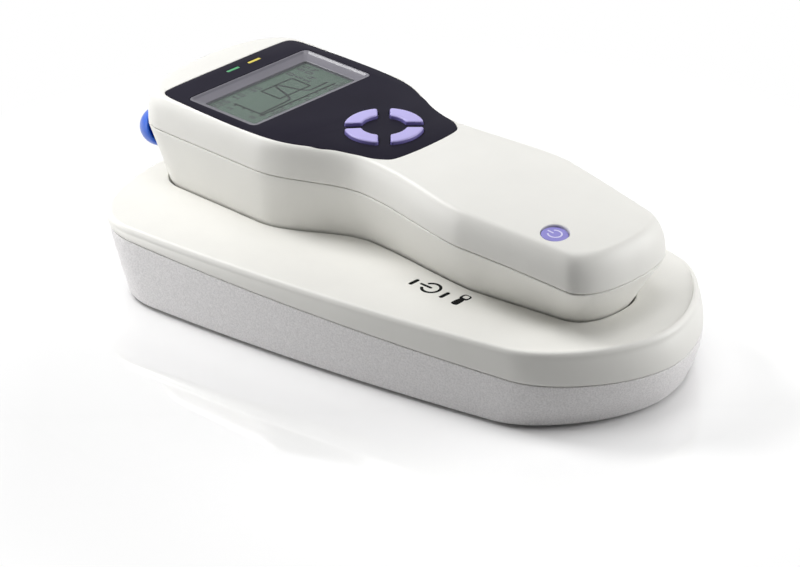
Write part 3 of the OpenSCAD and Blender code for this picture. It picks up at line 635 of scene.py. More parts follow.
def plate_outline():
    half = PLATE_HALF
    back = PLATE_BREAK
    front = -PLATE_FRONT
    near = [
        (PLATE_REAR - 0.8, PLATE_TAIL - 2.5),
        (PLATE_REAR - 1.7, PLATE_TAIL + 0.2),
        (PLATE_REAR - 3.2, PLATE_TAIL + 1.6),
        (back + 29, half - 12.6),
        (back + 23, half - 11.2),
        (back + 16, half - 9),
        (back + 11, half - 6.6),
        (back + 7.5, half - 5.3),
        (back + 4.5, half - 3.9),
        (back + 1, half - 2.5),
        (back - 5, half - 1),
        (back - 16, half - 0.1),
        (DISPLAY_X + 6, half),
        (DISPLAY_X - 9, half - 0.4),
        (front + 2.6, half - 1.5),
        (front + 0.5, half - 3),
        (front, half - 5),
    ]
    far = [(x, -y) for x, y in reversed(near)]
    return through(near + [(front - 0.4, 0)] + far + [(PLATE_REAR, 0)])


def key_outline(angle, inset):
    """An arrow key seen from above: a quarter of a ring between parallel gaps."""
    middle = (KEY_OUTER + KEY_INNER) / 2
    half_width = (KEY_OUTER - KEY_INNER) / 2
    half_gap = KEY_GAP / 2
    half_length = middle * (math.pi / 4 - math.asin(half_gap / middle))
    radius = max(0.25, KEY_ROUND - inset)
    width = 2 * (half_width - inset)
    length = 2 * (half_length - inset)
    box = rounded_box(0, 0, width, length, radius, CORNER_STEPS)
    points = []
    for i, (across, along) in enumerate(box):
        pieces = STRAIGHT_STEPS if i % (CORNER_STEPS + 1) == 0 else 1
        for k in range(1, pieces + 1):
            a, s = mix(box[i - 1], (across, along), k / pieces)
            r = middle + a
            reach = math.pi / 4 - math.asin(half_gap / r)
            turn = angle + s / half_length * reach
            points.append((r * math.cos(turn), r * math.sin(turn)))
    return points


# Materials
TONE_SPAN = (0.3, 0.7)
GLOSS_SHIFT = 0.05
LEAST_ROUGHNESS = 0.02
COAT_ROUGHNESS = 0.08
PANE_ALPHA = 0.05


def rgb(code):
    """A colour written as on screen, as the linear values that the shader takes."""
    parts = [int(code[i : i + 2], 16) / 255 for i in (1, 3, 5)]
    linear = [
        c / 12.92 if c <= 0.04045 else ((c + 0.055) / 1.055) ** 2.4 for c in parts
    ]
    return (*linear, 1)


def surface(
    name,
    colour,
    roughness,
    grain,
    relief,
    mottle=0.04,
    mottle_size=14,
    metal=0,
    coat=0,
    specular=0.5,
):
    """A moulded or turned surface: fine grain in its relief and gloss, slow shifts of tone."""
    material = bpy.data.materials.new(name)
    material.use_nodes = True
    nodes = material.node_tree.nodes
    links = material.node_tree.links
    shader = nodes["Principled BSDF"]
    shader.inputs["Metallic"].default_value = metal
    shader.inputs["Specular IOR Level"].default_value = specular
    shader.inputs["Coat Weight"].default_value = coat
    shader.inputs["Coat Roughness"].default_value = COAT_ROUGHNESS
    place = nodes.new("ShaderNodeTexCoord")

    tone = nodes.new("ShaderNodeTexNoise")
    tone.inputs["Scale"].default_value = 1 / (mottle_size * MM)
    tone.inputs["Detail"].default_value = 3
    links.new(place.outputs["Object"], tone.inputs["Vector"])
    shade = nodes.new("ShaderNodeValToRGB")
    low = [c * (1 - mottle) for c in rgb(colour)[:3]]
    high = [min(1, c * (1 + mottle)) for c in rgb(colour)[:3]]
    for stop, position, value in zip(shade.color_ramp.elements, TONE_SPAN, (low, high)):
        stop.position = position
        stop.color = (*value, 1)
    links.new(tone.outputs["Fac"], shade.inputs["Fac"])
    links.new(shade.outputs["Color"], shader.inputs["Base Color"])

    fine = nodes.new("ShaderNodeTexNoise")
    fine.inputs["Scale"].default_value = 1 / (grain * MM)
    fine.inputs["Detail"].default_value = 2
    links.new(place.outputs["Object"], fine.inputs["Vector"])
    gloss = nodes.new("ShaderNodeMapRange")
    gloss.inputs["To Min"].default_value = max(LEAST_ROUGHNESS, roughness - GLOSS_SHIFT)
    gloss.inputs["To Max"].default_value = roughness + GLOSS_SHIFT
    links.new(fine.outputs["Fac"], gloss.inputs["Value"])
    links.new(gloss.outputs["Result"], shader.inputs["Roughness"])
    bump = nodes.new("ShaderNodeBump")
    bump.inputs["Strength"].default_value = 1
    bump.inputs["Distance"].default_value = relief * MM
    links.new(fine.outputs["Fac"], bump.inputs["Height"])
    links.new(bump.outputs["Normal"], shader.inputs["Normal"])
    return material


# Each with its colour, its roughness, the size of its grain and the depth of its relief
shell_white = surface("shell_white", "#ecebe6", 0.42, 0.35, 0.006, mottle=0.012)
base_white = surface("base_white", "#eceaea", 0.5, 0.42, 0.12, mottle=0.11, mottle_size=0.55)
plate_dark = surface("plate_dark", "#211f2a", 0.5, 0.3, 0.004, mottle=0.06, specular=0.03)
frame_grey = surface("frame_grey", "#6f6d76", 0.34, 0.4, 0.004)
key_lilac = surface("key_lilac", "#b6aee6", 0.36, 0.5, 0.006)
power_lilac = surface("power_lilac", "#8d87d2", 0.36, 0.5, 0.006, mottle=0.05)
# A darker copy of the key lilac: painted shade on the keys' steep sides
key_side_painted_shade = surface("key_side_painted_shade", "#7d74bb", 0.36, 0.5, 0.006)
sign_lilac = surface("sign_lilac", "#dcd9f6", 0.4, 0.3, 0.004)
ink_black = surface("ink_black", "#060607", 0.5, 0.2, 0.004, specular=0.08)
tip_blue = surface("tip_blue", "#1c5fd2", 0.3, 0.3, 0.006, mottle=0.06, coat=0.4)
cone_navy = surface("cone_navy", "#16234f", 0.35, 0.3, 0.006)
rubber_black = surface("rubber_black", "#26262a", 0.75, 0.4, 0.03)
part_black = surface("part_black", "#26262a", 0.5, 0.4, 0.01)
part_grey = surface("part_grey", "#8b8d92", 0.5, 0.4, 0.01)
part_steel = surface("part_steel", "#b8bcc2", 0.3, 0.2, 0.005, metal=1)
part_gold = surface("part_gold", "#d2aa4a", 0.28, 0.2, 0.004, metal=1)
board_green = surface("board_green", "#2c6b46", 0.4, 0.6, 0.01, mottle=0.15)
cell_blue = surface("cell_blue", "#3f6f9f", 0.35, 0.6, 0.004, mottle=0.1)
tube_clear = surface("tube_clear", "#c9ccd2", 0.3, 0.5, 0.004)
lcd_panel = surface("lcd_panel", "#4d5e54", 0.6, 0.36, 0.001, mottle=0.1, mottle_size=30, specular=0.1)
lcd_ink = surface("lcd_ink", "#0a1218", 0.6, 0.36, 0.001)
light_green = surface("light_green", "#3d9b63", 0.3, 0.3, 0.002, mottle=0.1)
light_yellow = surface("light_yellow", "#e3cf48", 0.3, 0.3, 0.002, mottle=0.1)
pane_clear = surface("pane_clear", "#e8f0ee", 0.06, 3, 0.001, mottle=0.02, specular=0.12)
pane_clear.node_tree.nodes["Principled BSDF"].inputs["Alpha"].default_value = PANE_ALPHA


# Cradle
def dish(x, share):
    """Depth of the shallow dish beyond the handset, at a share of the way from rim to well."""
    along = smooth((x - SEAM_PLAN[1] - DISH_SPAN[0]) / (DISH_SPAN[1] - DISH_SPAN[0]))
    return DISH_DEPTH * along * math.sin(math.pi * min(1, share) ** DISH_SKEW) ** DISH_FULLNESS


def dished(rim, well, share):
    """A ring at a share of the way from rim to well, sunk by the dish."""
    rows = []
    for p, q in zip(rim, well):
        x, y, z = mix(p, q, share)
        rows.append((x, y, z - dish(x, share)))
    return rows


def bulged(low, high, bulge, share):
    """The insets of a wall at a share of its height."""
    return add(mix(low, high, share), bulge, 4 * share * (1 - share))


def cradle_cover():
    def band(share, lift=0):
        return lambda x: mix(cradle_seam_at(x) + lift, CRADLE_TOP - RIM_HEIGHT, share)

    inner = ring(plan_side(RIM_PLAN, -WELL_GAP - TRAY_WALL), level(CEILING_Z))
    outer = cradle_ring(SHOULDER_INSET, CRADLE_WALL, level(CEILING_Z))
    rings = [
        ring(plan_side(SOLE_PLAN, -WELL_GAP - TRAY_WALL), level(TRAY_Z)),
        inner,
        dished(outer, inner, 0.5),
        dished(outer, inner, 0.15),
        outer,
        cradle_ring(SEAM_INSET, CRADLE_WALL, band(0)),
    ]
    for back, lift in edge_steps(SEAM_ROUND):
        rings.append(cradle_ring(SEAM_INSET, back, band(0, lift)))
    for share in steps(0, 1, 10)[1:]:
        insets = bulged(SEAM_INSET, SHOULDER_INSET, COVER_BULGE, share)
        rings.append(cradle_ring(insets, 0, band(share, SEAM_ROUND)))
    for angle in steps(0, QUARTER, 10)[1:]:
        insets = mix(SHOULDER_INSET, RIM_INSET, 1 - math.cos(angle))
        z = CRADLE_TOP - RIM_HEIGHT * (1 - math.sin(angle))
        rings.append(cradle_ring(insets, 0, level(z)))
    rim = rings[-1]
    edge = ring(plan_side(RIM_PLAN, -WELL_GAP - SEAM_ROUND), level(CRADLE_TOP))
    rings += [dished(rim, edge, share) for share in TOP_SHARES]
    for back, drop in edge_steps(SEAM_ROUND)[1:]:
        rings.append(ring(plan_side(RIM_PLAN, -WELL_GAP - back), level(CRADLE_TOP - drop)))
    rings.append(ring(plan_side(SOLE_PLAN, -WELL_GAP), level(WELL_Z)))
    cover = skin("cover_shell", rings)
    cutters = []
    for sign in (-1, 1):
        hole = circle(PIN_PLACE[0], sign * PIN_PLACE[1], PIN_HOLE_R)
        cutters.append(column(hole, TRAY_Z - OVER, WELL_Z + OVER))
    length, width = BAR_SIZE
    for x in BAR_PLACES:
        slot = rounded_box(x, BAR_Y, length + 2 * FIT_GAP, width + 2 * FIT_GAP, length / 2)
        cutters.append(column(slot, CEILING_Z - OVER, CRADLE_TOP + OVER))
    combine(cover, [joined("cuts", cutters)])
    finish_piece(cover, shell_white, "cradle", ["cradle_cover"])


def cradle_base():
    def band(share, drop=0):
        return lambda x: mix(
            FOOT_GAP + BASE_ROUND, cradle_seam_at(x) - SEAM_GAP - drop, share
        )

    rings = [cradle_ring(FLOOR_INSET, BASE_MARGIN, level(FOOT_GAP))]
    for angle in steps(0, QUARTER, 6):
        insets = mix(FLOOR_INSET, LOW_INSET, math.sin(angle))
        z = FOOT_GAP + BASE_ROUND * (1 - math.cos(angle))
        rings.append(cradle_ring(insets, 0, level(z)))
    for share in steps(0, 1, 14)[1:]:
        insets = bulged(LOW_INSET, SEAM_INSET, BASE_BULGE, share)
        rings.append(cradle_ring(insets, 0, band(share, SEAM_ROUND)))
    for drop, back in edge_steps(SEAM_ROUND)[1:]:
        rings.append(cradle_ring(SEAM_INSET, back, band(1, drop)))
    rings.append(cradle_ring(SEAM_INSET, CRADLE_WALL, band(1)))
    rings.append(cradle_ring(LOW_INSET, CRADLE_WALL + 1, level(BASE_FLOOR)))
    base = skin("base_shell", rings)
    cutters = []
    for x, y in FOOT_PLACES:
        for sign in (-1, 1):
            hole = circle(x, sign * y, FOOT_D / 2 + FIT_GAP)
            cutters.append(column(hole, -OVER, FOOT_GAP + FOOT_SINK))
    for x, y in CORNER_PLACES:
        for sign in (-1, 1):
            hole = circle(x, sign * y, CORNER_HOLE_R)
            cutters.append(column(hole, -OVER, BASE_FLOOR + OVER))
    start, reach = INLET_CUT
    sideways = Matrix.Translation((0, start, INLET_Z)) @ Matrix.Rotation(-QUARTER, 4, "X")
    cutters.append(column(circle(0, 0, INLET_R + FIT_GAP), 0, reach, sideways))
    combine(base, [joined("cuts", cutters)])
    finish_piece(base, base_white, "cradle", ["cradle_base"])


def bars():
    parts = []
    length, width = BAR_SIZE
    top = CRADLE_TOP - BAR_SINK
    for x in BAR_PLACES:
        bar = rounded_box(x, BAR_Y, length, width, length / 2 - 0.01)
        rows = [(bar, BAR_LOW), (bar, top - BAR_EDGE), (grown(bar, -BAR_EDGE), top)]
        parts.append(loft("bar", rows))
    made = joined("indicator_lenses", parts)
    finish_piece(made, ink_black, "cradle", ["indicator_bars"])


def signs():
    """Black signs printed on the cradle: a power sign and a small picture of the handset."""
    low = CRADLE_TOP - PRINT_SINK
    high = low + PRINT_T
    px, py = POWER_SIGN
    back, length = POWER_SIGN_BAR
    parts = [
        column(arc(px, py, POWER_SIGN_R, PRINT_W, POWER_SIGN_ARC), low, high),
        column(rounded_box(px - back, py, length, PRINT_W, PRINT_ROUND), low, high),
    ]
    hx, hy = HANDSET_SIGN
    outer, window = (rounded_box(hx, hy + y, *size) for y, *size in (SIGN_HEAD, SIGN_WINDOW))
    head = column(outer, low, high)
    combine(head, [column(window, low - OVER, low + OVER)])
    left = [(hx - across, hy + along) for across, along in SIGN_HANDLE]
    right = [(hx + across, hy + along) for across, along in reversed(SIGN_HANDLE[:-1])]
    handle = through(left + right, 5)
    parts += [head, column(handle, low - PRINT_OVERLAP, high + PRINT_OVERLAP)]
    made = joined("cradle_signs", parts)
    finish_piece(made, ink_black, "cradle")


# Handset
def at_power(height=0):
    """The power button's place: on the roof and leaning with it."""
    x, y = POWER_PLACE
    lean = math.atan((top_at(x - 1) - top_at(x + 1)) / 2)
    place = Matrix.Translation((x, y, top_at(x) + POWER_CROWN * CROWN))
    return place @ Matrix.Rotation(lean, 4, "Y") @ Matrix.Translation((0, 0, height))


def upper_shell():
    rings = [crown_ring(share, WALL, ROOF_T) for share in INNER_ROOF_SHARES]
    rings += [upper_ring(math.radians(a), WALL, ROOF_T) for a in INNER_TURNS]
    rings += [upper_ring(0, back, 0, lift) for back, lift in edge_steps(SEAM_ROUND)]
    rings += [upper_ring(math.radians(a), 0, 0, SEAM_ROUND) for a in SIDE_TURNS]
    rings += [crown_ring(share) for share in ROOF_SHARES]
    shell = skin("handset_upper", rings)
    below, above, flare = RECESS_FLARE
    plate = grown(plate_outline(), FIT_GAP)
    wide = grown(plate_outline(), FIT_GAP + flare)
    rows = [(plate, PLATE_Z), (plate, FACE_Z - below), (wide, FACE_Z + above), (wide, FACE_Z + 5)]
    cuts = joined("cuts", face_cuts(FACE_Z - ROOF_T - OVER))
    combine(shell, [loft("recess", rows), cuts, power_cut()])
    finish_piece(shell, shell_white, "handset", ["upper_shell"])


def power_cut():
    """The solid to cut for the power button, which widens in a round edge."""
    hole = circle(0, 0, POWER_D / 2 + KEY_CLEAR, BUTTON_STEPS)
    low, high = POWER_HOLE
    wide, deep = POWER_HOLE_EDGE
    rows = [(hole, low), (hole, -deep - 0.05)]
    for angle in steps(0, QUARTER, 5):
        back = wide * (1 - math.cos(angle))
        rows.append((grown(hole, back), -deep + deep * math.sin(angle)))
    rows.append((grown(hole, wide + 0.1), high))
    return loft("power_cut", rows, at_power())


def face_cuts(low):
    """Solids to cut for the display frame, the keys and the status lights."""
    length, width = DISPLAY_L + 2 * FIT_GAP, DISPLAY_W + 2 * FIT_GAP
    holes = [rounded_box(DISPLAY_X, 0, length, width, DISPLAY_ROUND)]
    holes += [key_outline(QUARTER * turn, -KEY_CLEAR) for turn in range(4)]
    length, width = LIGHT_SIZE[0] + 2 * FIT_GAP, LIGHT_SIZE[1] + 2 * FIT_GAP
    for y in (GREEN_Y, YELLOW_Y):
        holes.append(rounded_box(LIGHT_X, y, length, width, LIGHT_ROUND))
    return [column(hole, low, FACE_Z + 2 * OVER) for hole in holes]


def lower_shell():
    rings = [sole_ring(SOLE_Z + lift, inset) for inset, lift in edge_steps(SOLE_ROUND, 6)]
    rings += [wall_ring(share, 0, SEAM_ROUND) for share in steps(1, 0, 12)]
    rings += [wall_ring(0, back, drop) for drop, back in edge_steps(SEAM_ROUND)[1:]]
    rings += [wall_ring(share, WALL) for share in (0, 0.5, 1)]
    rings.append(sole_ring(SOLE_Z + WALL + 0.6 * SOLE_ROUND, WALL))
    rings.append(sole_ring(SOLE_Z + WALL, WALL + 0.7 * SOLE_ROUND))
    shell = skin("handset_lower", rings)
    holes = [circle(PIN_PLACE[0], s * PIN_PLACE[1], CONTACT_R + FIT_GAP) for s in (-1, 1)]
    holes += [circle(x, y, SHELL_SCREW_R) for x, y in SHELL_SCREWS]
    cutters = [column(circle(0, 0, HOUSING_R + FIT_GAP), -12, 18, at_probe())]
    cutters += [column(hole, SOLE_Z - OVER, SOLE_Z + WALL + OVER) for hole in holes]
    combine(shell, [joined("cuts", cutters)])
    finish_piece(shell, shell_white, "handset", ["lower_shell"])


def face_plate():
    plate = plate_outline()
    rows = [
        (plate, PLATE_Z),
        (plate, FACE_Z - 0.14),
        (grown(plate, -0.05), FACE_Z - 0.04),
        (grown(plate, -0.16), FACE_Z),
    ]
    made = loft("face_panel", rows)
    combine(made, [joined("cuts", face_cuts(PLATE_Z - OVER))])
    finish_piece(made, plate_dark, "handset", ["face_plate"])


def screen_frame():
    """The grey frame round the display, whose inner sides slope down to the pane."""
    low = PANE_Z - FRAME_DEPTH
    top = FACE_Z - FRAME_DROP
    pane_top = PANE_Z + PANE_T

    def outline(shrink, radius):
        return rounded_box(DISPLAY_X, 0, DISPLAY_L - 2 * shrink, DISPLAY_W - 2 * shrink, radius)

    # Each outline's inset and rounding, and its level
    rows = [
        (outline(0, 2.1), low),
        (outline(0, 2.1), top - 0.15),
        (outline(0.12, 2), top),
        (outline(0.45, 1.9), top),
        (outline(0.6, 1.8), top - 0.1),
        (outline(0.95, 1.7), top - 0.55),
        (outline(1.15, 1.6), top - 0.68),
        (outline(SLOPE - 0.4, 0.9), pane_top + 0.22),
        (outline(SLOPE - 0.15, 0.8), pane_top + 0.12),
        (outline(SLOPE, 0.7), pane_top + 0.02),
        (outline(SLOPE, 0.7), low),
    ]
    points = [(x, y, z) for row, z in rows for x, y in row]
    made = new_object("screen_frame", points, tube_faces(len(rows[0][0]), len(rows)))
    finish_piece(made, frame_grey, "handset", ["display_frame"], sharp=50)


# What the display shows, in millimetres across and up from its lower left corner.
# A sign is five rows of three dots.
GLYPHS = {
    "0": "111101101101111",
    "1": "010110010010111",
    "2": "111001111100111",
    "3": "111001111001111",
    "4": "101101111001001",
    "5": "111100111001111",
    "6": "111100111101111",
    "8": "111101111101111",
    ".": "000000000000010",
    "-": "000000111000000",
    "+": "000010111010000",
    ":": "000010000010000",
}
GLYPH_SIZE = (3, 5)
GLYPH_PITCH = 4
GLYPH_FILL = 0.92
AXIS = (7.5, 4.2)
AXIS_END = (41, 17.5)
TICK_START = (6.4, 3.2)
TICK_PITCH = 4
TICKS = (9, 4)
BOX = (20, 9, 34, 17.6)
LINE_W = 0.7
LINE_STEP = 0.36
CURVE_SPAN = (8, 40)
CURVE_POINTS = 80
CURVE_LOW = 5.2
CURVE_RISE = 0.05
CURVE_PEAK = (26.5, 2.6, 11.4)
CURVE_W = 0.75
MARK_DEPTH = 0.045
MARK_T = 0.02
# Text, place and size of a dot
NUMBERS = [
    ("-200", 8, 0.6, 0.52),
    ("0", 25.2, 0.6, 0.52),
    ("+200", 35.5, 0.6, 0.52),
    ("1", 3.6, 15, 0.5),
    ("0", 3.6, 4.4, 0.5),
    ("226", 1.2, 19.2, 0.62),
    ("10:35", 10.5, 19.2, 0.62),
    ("0.85", 35.5, 19.2, 0.62),
    ("1.04", 35.5, 15.4, 0.62),
    ("14", 35.5, 11.6, 0.62),
]


def dot(across, up, length_across, length_up):
    cx = DISPLAY_X + DISPLAY_L / 2 - SLOPE - up - length_up / 2
    cy = -DISPLAY_W / 2 + SLOPE + across + length_across / 2
    outline = [
        (cx + sx * length_up / 2, cy + sy * length_across / 2)
        for sx, sy in ((-1, -1), (1, -1), (1, 1), (-1, 1))
    ]
    low = PANE_Z - MARK_DEPTH
    return column(outline, low, low + MARK_T)


def number(text, across, up, size):
    """The dots of a number."""
    dots = []
    fill = GLYPH_FILL * size
    columns, rows = GLYPH_SIZE
    for place, sign in enumerate(text):
        for k, lit in enumerate(GLYPHS[sign]):
            if lit == "1":
                row, step = divmod(k, columns)
                dot_x = across + (GLYPH_PITCH * place + step) * size
                dot_y = up + (rows - 1 - row) * size
                dots.append(dot(dot_x, dot_y, fill, fill))
    return dots


def dotted(x0, y0, x1, y1, width=LINE_W):
    """A straight line of dots that touch."""
    count = max(1, int(math.hypot(x1 - x0, y1 - y0) / LINE_STEP))
    across = max(width, abs(x1 - x0) / count)
    up = max(width, abs(y1 - y0) / count)
    spots = [(mix(x0, x1, i / count), mix(y0, y1, i / count)) for i in range(count)]
    return [dot(x, y, across, up) for x, y in spots]


def screen_marks():
    """Dark marks in the display: a plain curve in its graph, with numbers along the axes."""
    x, y = AXIS
    parts = dotted(x, y, AXIS_END[0], y) + dotted(x, y, x, AXIS_END[1])
    for i in range(TICKS[0]):
        tick = x + TICK_PITCH * i
        parts += dotted(tick, TICK_START[1], tick, y)
    for i in range(TICKS[1]):
        tick = y + TICK_PITCH * i
        parts += dotted(TICK_START[0], tick, x, tick)
    x0, y0, x1, y1 = BOX
    parts += dotted(x0, y0, x1, y0) + dotted(x0, y1, x1, y1)
    parts += dotted(x0, y0, x0, y1) + dotted(x1, y0, x1, y1)
    middle, spread, height = CURVE_PEAK
    curve = []
    first, last = CURVE_SPAN
    for i in range(CURVE_POINTS):
        across = first + (last - first) * i / (CURVE_POINTS - 1)
        peak = math.exp(-(((across - middle) / spread) ** 2))
        curve.append((across, CURVE_LOW + CURVE_RISE * (across - first) + height * peak))
    for start, end in zip(curve, curve[1:]):
        parts += dotted(*start, *end, CURVE_W)
    for row in NUMBERS:
        parts += number(*row)
    made = joined("screen_marks", parts)
    finish_piece(made, lcd_ink, "handset")


def status_lights():
    length, width = LIGHT_SIZE
    top = FACE_Z - LIGHT_DROP
    edge = top - LIGHT_EDGE
    lights = [
        ("lamp_green", GREEN_Y, light_green, "light_green", "status_light_green"),
        ("lamp_yellow", YELLOW_Y, light_yellow, "light_yellow", "status_light_yellow"),
    ]
    for name, y, material, slot, node in lights:
        outline = rounded_box(LIGHT_X, y, length, width, LIGHT_ROUND - 0.05)
        rows = [(outline, PLATE_Z - 2), (outline, edge), (grown(outline, -LIGHT_EDGE), top)]
        finish_piece(loft(name, rows), material, "handset", [node])


def arrow_keys():
    low = FACE_Z - ROOF_T - FIT_GAP - KEY_FLANGE_T
    top = FACE_Z + KEY_RISE
    back, rise = KEY_EDGE
    for quarter, body in enumerate(["key_down", "key_right", "key_up", "key_left"]):
        angle = QUARTER * quarter
        plain = key_outline(angle, 0)
        rows = [(plain, low), (plain, FACE_Z + KEY_EDGE_LOW)]
        for turn in steps(0, QUARTER, 6):
            inset = KEY_DRAFT + back * (1 - math.cos(turn))
            z = top - KEY_EDGE_DROP + rise * math.sin(turn)
            rows.append((key_outline(angle, inset), z))
        rows.append((key_outline(angle, KEY_FLAT), top))
        made = loft(f"arrow_{body}", rows)
        finish_piece(made, key_lilac, body, [body], sharp=40)
        # The steep side faces get the darker lilac, which is painted shade
        made.data.materials.append(key_side_painted_shade)
        for face in made.data.polygons:
            if face.normal.z < KEY_SHADE_SLOPE:
                face.material_index = 1


def power_button():
    place = at_power(-POWER_DROP)
    disc = circle(0, 0, POWER_D / 2, BUTTON_STEPS)
    back, rise = POWER_EDGE
    rows = [(disc, -POWER_STEM), (disc, -back)]
    for turn in steps(0, QUARTER, 5)[1:]:
        rows.append((grown(disc, -back * (1 - math.cos(turn))), -back + rise * math.sin(turn)))
    for radius in POWER_DOME_RINGS:
        dome = POWER_DOME * (1 - (radius / (POWER_D / 2)) ** 2)
        rows.append((circle(0, 0, radius, BUTTON_STEPS), -POWER_DOME + dome))
    made = loft("button_cap", rows, place)
    finish_piece(made, power_lilac, "power_button", ["power_button"], sharp=40)
    outlines = [arc(0, 0, *MARK_RING), rounded_box(*MARK_BAR)]
    sign = [column(outline, -MARK_HALF_T, MARK_HALF_T, place) for outline in outlines]
    finish_piece(joined("button_sign", sign), sign_lilac, "power_button")


# Probe. Heights run along its axis, from where it leaves the handset.
def at_probe():
    place = Matrix.Translation((-PROBE_X, 0, FACE_Z - PROBE_DEPTH))
    return place @ Matrix.Rotation(math.radians(-90 - PROBE_TILT), 4, "Y")


def probe():
    place = at_probe()
    bore = HOUSING_R - 1.5
    collar = [
        (bore, -14),
        (HOUSING_R, -14),
        (HOUSING_R, 0.9),
        (HOUSING_R + 0.18, 0.95),
        (HOUSING_R + 0.3, 1.1),
        (HOUSING_R + 0.3, 1.75),
        (HOUSING_R + 0.18, 1.95),
        (HOUSING_R, 2),
        (bore + 0.3, 2),
        (bore, 1.8),
    ]
    housing = turned("probe_sleeve", collar, place)
    finish_piece(housing, cone_navy, "handset", ["probe_housing"])
    spigot = CONE_TIP_R - 1.2
    inner = SOUND_R + 0.05
    cone = [
        (inner, -5.2),
        (bore - 0.05, -5.2),
        (bore - 0.05, 2.3),
        (CONE_FOOT_R - 0.15, 2.3),
        (CONE_FOOT_R, 2.5),
        (CONE_FOOT_R, 3.2),
        (CONE_FOOT_R - 0.1, 5),
        (CONE_FOOT_R - 0.3, 8),
        (CONE_FOOT_R - 0.62, 12),
        (mix(CONE_FOOT_R, CONE_TIP_R, 0.6), 16),
        (mix(CONE_FOOT_R, CONE_TIP_R, 0.85), 19.4),
        (CONE_TIP_R, TIP_RIM - 4),
        (CONE_TIP_R - 0.05, TIP_RIM - 3.2),
        (CONE_TIP_R - 0.2, TIP_RIM - 2.8),
        (CONE_TIP_R - 0.5, TIP_RIM - 2.6),
        (spigot, TIP_RIM - 2.6),
        (spigot, PROBE_L - 0.5),
        (spigot - 0.12, PROBE_L - 0.2),
        (spigot - 0.3, PROBE_L - 0.1),
        (inner, PROBE_L - 0.1),
    ]
    finish_piece(turned("cone", cone, place), cone_navy, "nose_cone", ["nose_cone"])
    hub = spigot + 0.05
    hollow_r = TIP_R - TIP_T
    hollow_dome = TIP_DOME - TIP_T
    lip = TIP_T / 2
    outer_end = math.acos(hub / TIP_R)
    inner_end = math.acos((hub + TIP_T) / hollow_r)
    profile = [(hub, TIP_RIM - 2), (hub + 0.5, TIP_RIM - 2.15), (hub + TIP_T, TIP_RIM - 2)]
    for t in steps(inner_end, 0, 14):
        profile.append((hollow_r * math.cos(t), TIP_RIM + hollow_dome * math.sin(t)))
    for t in steps(0, math.pi, 6)[1:-1]:
        profile.append((TIP_R - lip - lip * math.cos(t), TIP_RIM - lip * math.sin(t)))
    for t in steps(0, outer_end, 18):
        profile.append((TIP_R * math.cos(t), TIP_RIM + TIP_DOME * math.sin(t)))
    tip = turned("soft_tip", profile, place)
    finish_piece(tip, tip_blue, "ear_tip", ["ear_tip"], sharp=50)


cradle_cover()
cradle_base()
bars()
signs()
upper_shell()
lower_shell()
face_plate()
screen_frame()
screen_marks()
status_lights()
arrow_keys()
power_button()
probe()

# Finishes of the solids that stay as they are
FINISHES = [
    (rubber_black, ["cradle_feet"]),
    (
        part_steel,
        ["cradle_screws", "shell_screws", "battery_contacts", "receiver", "microphone",
         "pump_motor", "pump_screw"],
    ),
    (board_green, ["cradle_board", "main_board", "power_board"]),
    (sign_lilac, ["indicator_lamps"]),
    (part_gold, ["pin_barrels", "charge_pin_left", "charge_pin_right", "charge_contacts"]),
    (
        part_black,
        ["power_inlet", "key_switches", "power_switch", "battery_tray", "pressure_sensor",
         "pump_piston"],
    ),
    (pane_clear, ["display_window"]),
    (lcd_panel, ["display_panel"]),
    (cell_blue, ["battery_cells"]),
    (part_grey, ["probe_core", "release_valve", "pump_frame"]),
    (tube_clear, ["air_tube", "pump_cylinder"]),
]
for material, nodes in FINISHES:
    for node in nodes:
        for slot in frame["nodes"][node].material_slots:
            slot.material = material

# Where the photograph was taken from
VIEW_AZIMUTH = math.radians(44.6)
VIEW_ELEVATION = math.radians(27.48)
VIEW_ROLL = math.radians(-1.03)
IMAGE_WIDTH = 800
IMAGE_HEIGHT = 567
FOCAL_PIXELS = 3700
RING_PIXEL = (384.05, 127.96)
PIXELS_PER_MM = 2.6 / 0.83
SENSOR = 36
CAMERA_REACH = 20
TO_RIGHT = Vector((math.cos(VIEW_AZIMUTH), math.sin(VIEW_AZIMUTH), 0))
TO_BACK = Vector((-math.sin(VIEW_AZIMUTH), math.cos(VIEW_AZIMUTH), 0))

# Floor, in metres. Spans run towards the image's right, its front and away from the middle.
FLOOR_SIZE = 6
FLOOR_BOUNCE = 0.76
FLOOR_WHITE = (1.0, 1.22)
FLOOR_SPAN = (-0.11, 0.02)
SHINE = (0.35, 0)
SHINE_SPAN = (0.08, 0.17)
SHINE_ROUGHNESS = 0.03
FLOOR_RIM = (0.14, 0.2)

# Light: the strength of the white surroundings on the object and as seen, and the lamps.
# Each lamp has its turn from the image's right towards its back and its elevation in
# degrees, its distance from the point it faces, that point, its size and its power.
SKY = (0.04, 1)
LAMPS = [
    ("top_lamp", 90, 87, 0.9, (0, 0, 0.03), 0.6, 4.0),
    ("key_lamp", 152, 45, 0.6, (0, 0, 0.03), 0.18, 2.05),
    ("left_lamp", 187, 10, 0.33, (-0.05, 0, 0.03), 0.2, 0.36),
    ("right_lamp", 0, 18, 0.37, (0.06, 0, 0.03), 0.25, 0.85),
]


